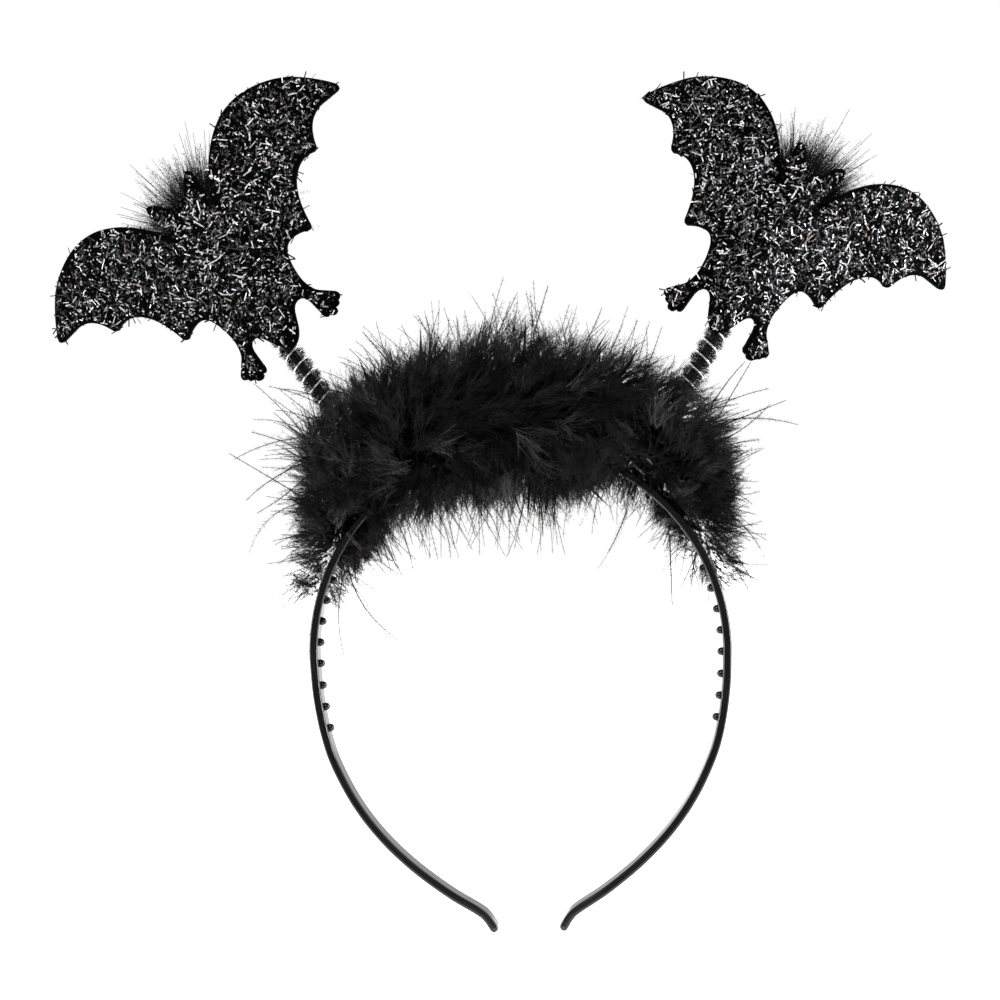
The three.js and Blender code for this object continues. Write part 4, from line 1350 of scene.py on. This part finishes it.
def make_tuft(side, rng):
    """Soft black down with long quills, fanned out behind a bat's head."""
    place = bat_matrix(side)
    fold = math.radians(side["fold"])
    turn = np.array(place.to_3x3())
    back = fold_line_back(side) + (TUFT_RADIUS + GAP) / math.cos(fold)
    centre = np.array(place @ Vector((0, back, TUFT_HEIGHT)))

    def fan(count, spread, rise):
        angle = np.radians(rng.uniform(-spread, spread, count))
        direction = radial(angle)
        lift = rise * rng.uniform(0.1, 1.0, count) + math.tan(fold) * np.abs(direction[:, 0])
        return unit(direction + BACKWARD * lift[:, None]) @ turn.T

    sets = []
    for row in TUFT_LAYERS:
        count = row["count"]
        direction = fan(count, row["spread"], row["rise"])
        root = centre + direction * rng.uniform(*row["root"], (count, 1))
        if row["scatter"]:
            root = root + rng.normal(0, row["scatter"], (count, 3))
        length = rng.uniform(*row["length"], count)
        curl = across(direction, rng) * rng.uniform(*row["curl"], (count, 1))
        sets.append(barbs(root, direction, curl, length, row["width"], rng,
                          fluff=row["fluff"], quill=row["quill"]))
    points, faces = merge(sets)
    mesh_piece(f"tuft_down_{side['name']}", points, faces, ["feather_black"],
               [f"tuft_{side['name']}"])


# Stage

def make_camera():
    """Camera at the fitted place, rolled a little as the photograph is."""
    back = Vector((math.sin(CAMERA_AZIMUTH), -math.cos(CAMERA_AZIMUTH), 0))
    right = Vector((math.cos(CAMERA_AZIMUTH), math.sin(CAMERA_AZIMUTH), 0))
    up = Vector((0, 0, 1))
    rolled_right = right * math.cos(CAMERA_ROLL) - up * math.sin(CAMERA_ROLL)
    rolled_up = right * math.sin(CAMERA_ROLL) + up * math.cos(CAMERA_ROLL)
    matrix = Matrix((rolled_right, rolled_up, back)).transposed().to_4x4()
    matrix.translation = CAMERA_TARGET + back * CAMERA_DISTANCE
    camera = bpy.data.objects.new("camera", bpy.data.cameras.new("camera"))
    camera.data.lens = CAMERA_LENS
    camera.data.sensor_width = CAMERA_SENSOR
    camera.matrix_world = matrix
    bpy.context.scene.collection.objects.link(camera)
    bpy.context.scene.camera = camera


def make_world():
    """White to the camera, and as light on the object bright behind it and dim in front."""
    world = bpy.data.worlds.new("studio")
    world.use_nodes = True
    bpy.context.scene.world = world
    nodes, links = world.node_tree.nodes, world.node_tree.links
    seen = nodes["Background"]
    seen.inputs["Color"].default_value = (1, 1, 1, 1)
    seen.inputs["Strength"].default_value = 1.0
    light = nodes.new("ShaderNodeBackground")
    light.inputs["Color"].default_value = (1, 1, 1, 1)
    place = nodes.new("ShaderNodeTexCoord")
    parts = nodes.new("ShaderNodeSeparateXYZ")
    spread = nodes.new("ShaderNodeMapRange")
    spread.inputs["From Min"].default_value = STUDIO_FRONT_END
    spread.inputs["From Max"].default_value = STUDIO_BACK_END
    spread.inputs["To Min"].default_value = STUDIO_FRONT_LIGHT
    spread.inputs["To Max"].default_value = STUDIO_BACK_LIGHT
    links.new(place.outputs["Generated"], parts.inputs["Vector"])
    links.new(parts.outputs["Y"], spread.inputs["Value"])
    links.new(spread.outputs["Result"], light.inputs["Strength"])
    ray = nodes.new("ShaderNodeLightPath")
    mix = nodes.new("ShaderNodeMixShader")
    links.new(ray.outputs["Is Camera Ray"], mix.inputs["Fac"])
    links.new(light.outputs["Background"], mix.inputs[1])
    links.new(seen.outputs["Background"], mix.inputs[2])
    links.new(mix.outputs["Shader"], nodes["World Output"].inputs["Surface"])


def make_light(name, place, size, energy):
    data = bpy.data.lights.new(name, "AREA")
    data.shape = "RECTANGLE"
    data.size, data.size_y = size
    data.energy = energy
    lamp = bpy.data.objects.new(name, data)
    lamp.location = place
    lamp.rotation_mode = "QUATERNION"
    lamp.rotation_quaternion = (Vector(place) * -1).to_track_quat("-Z", "Y")
    bpy.context.scene.collection.objects.link(lamp)


def make_floor():
    half = FLOOR_SIZE / 2
    corners = [(-half, -FLOOR_FRONT), (half, -FLOOR_FRONT), (half, half), (-half, half)]
    mesh = bpy.data.meshes.new("floor")
    mesh.from_pydata([(x, y, FLOOR_HEIGHT) for x, y in corners], [], [(0, 1, 2, 3)])
    pale = new_material("floor_pale", Roughness=0.8)
    shader = pale.node_tree.nodes["Principled BSDF"]
    shader.inputs["Base Color"].default_value = (0.95, 0.95, 0.95, 1)
    shader.inputs["Emission Color"].default_value = (1, 1, 1, 1)
    shader.inputs["Emission Strength"].default_value = FLOOR_GLOW
    mesh.materials.append(pale)
    floor = bpy.data.objects.new("floor", mesh)
    bpy.context.scene.collection.objects.link(floor)


def make_stage():
    bpy.context.scene.view_settings.view_transform = "Standard"
    make_world()
    for row in LIGHTS:
        make_light(row["name"], row["place"], row["size"], row["power"])
    make_floor()


make_camera()
make_stage()
make_band()
make_boa_core(np.random.default_rng(11))
make_boa(np.random.default_rng(12))
make_cord_ends(np.random.default_rng(13))
for number, stem_side in enumerate(SIDES):
    make_spring(stem_side)
    make_pile(stem_side, np.random.default_rng(20 + number))
    make_bat(stem_side, np.random.default_rng(30 + number))
    make_tuft(stem_side, np.random.default_rng(40 + number))
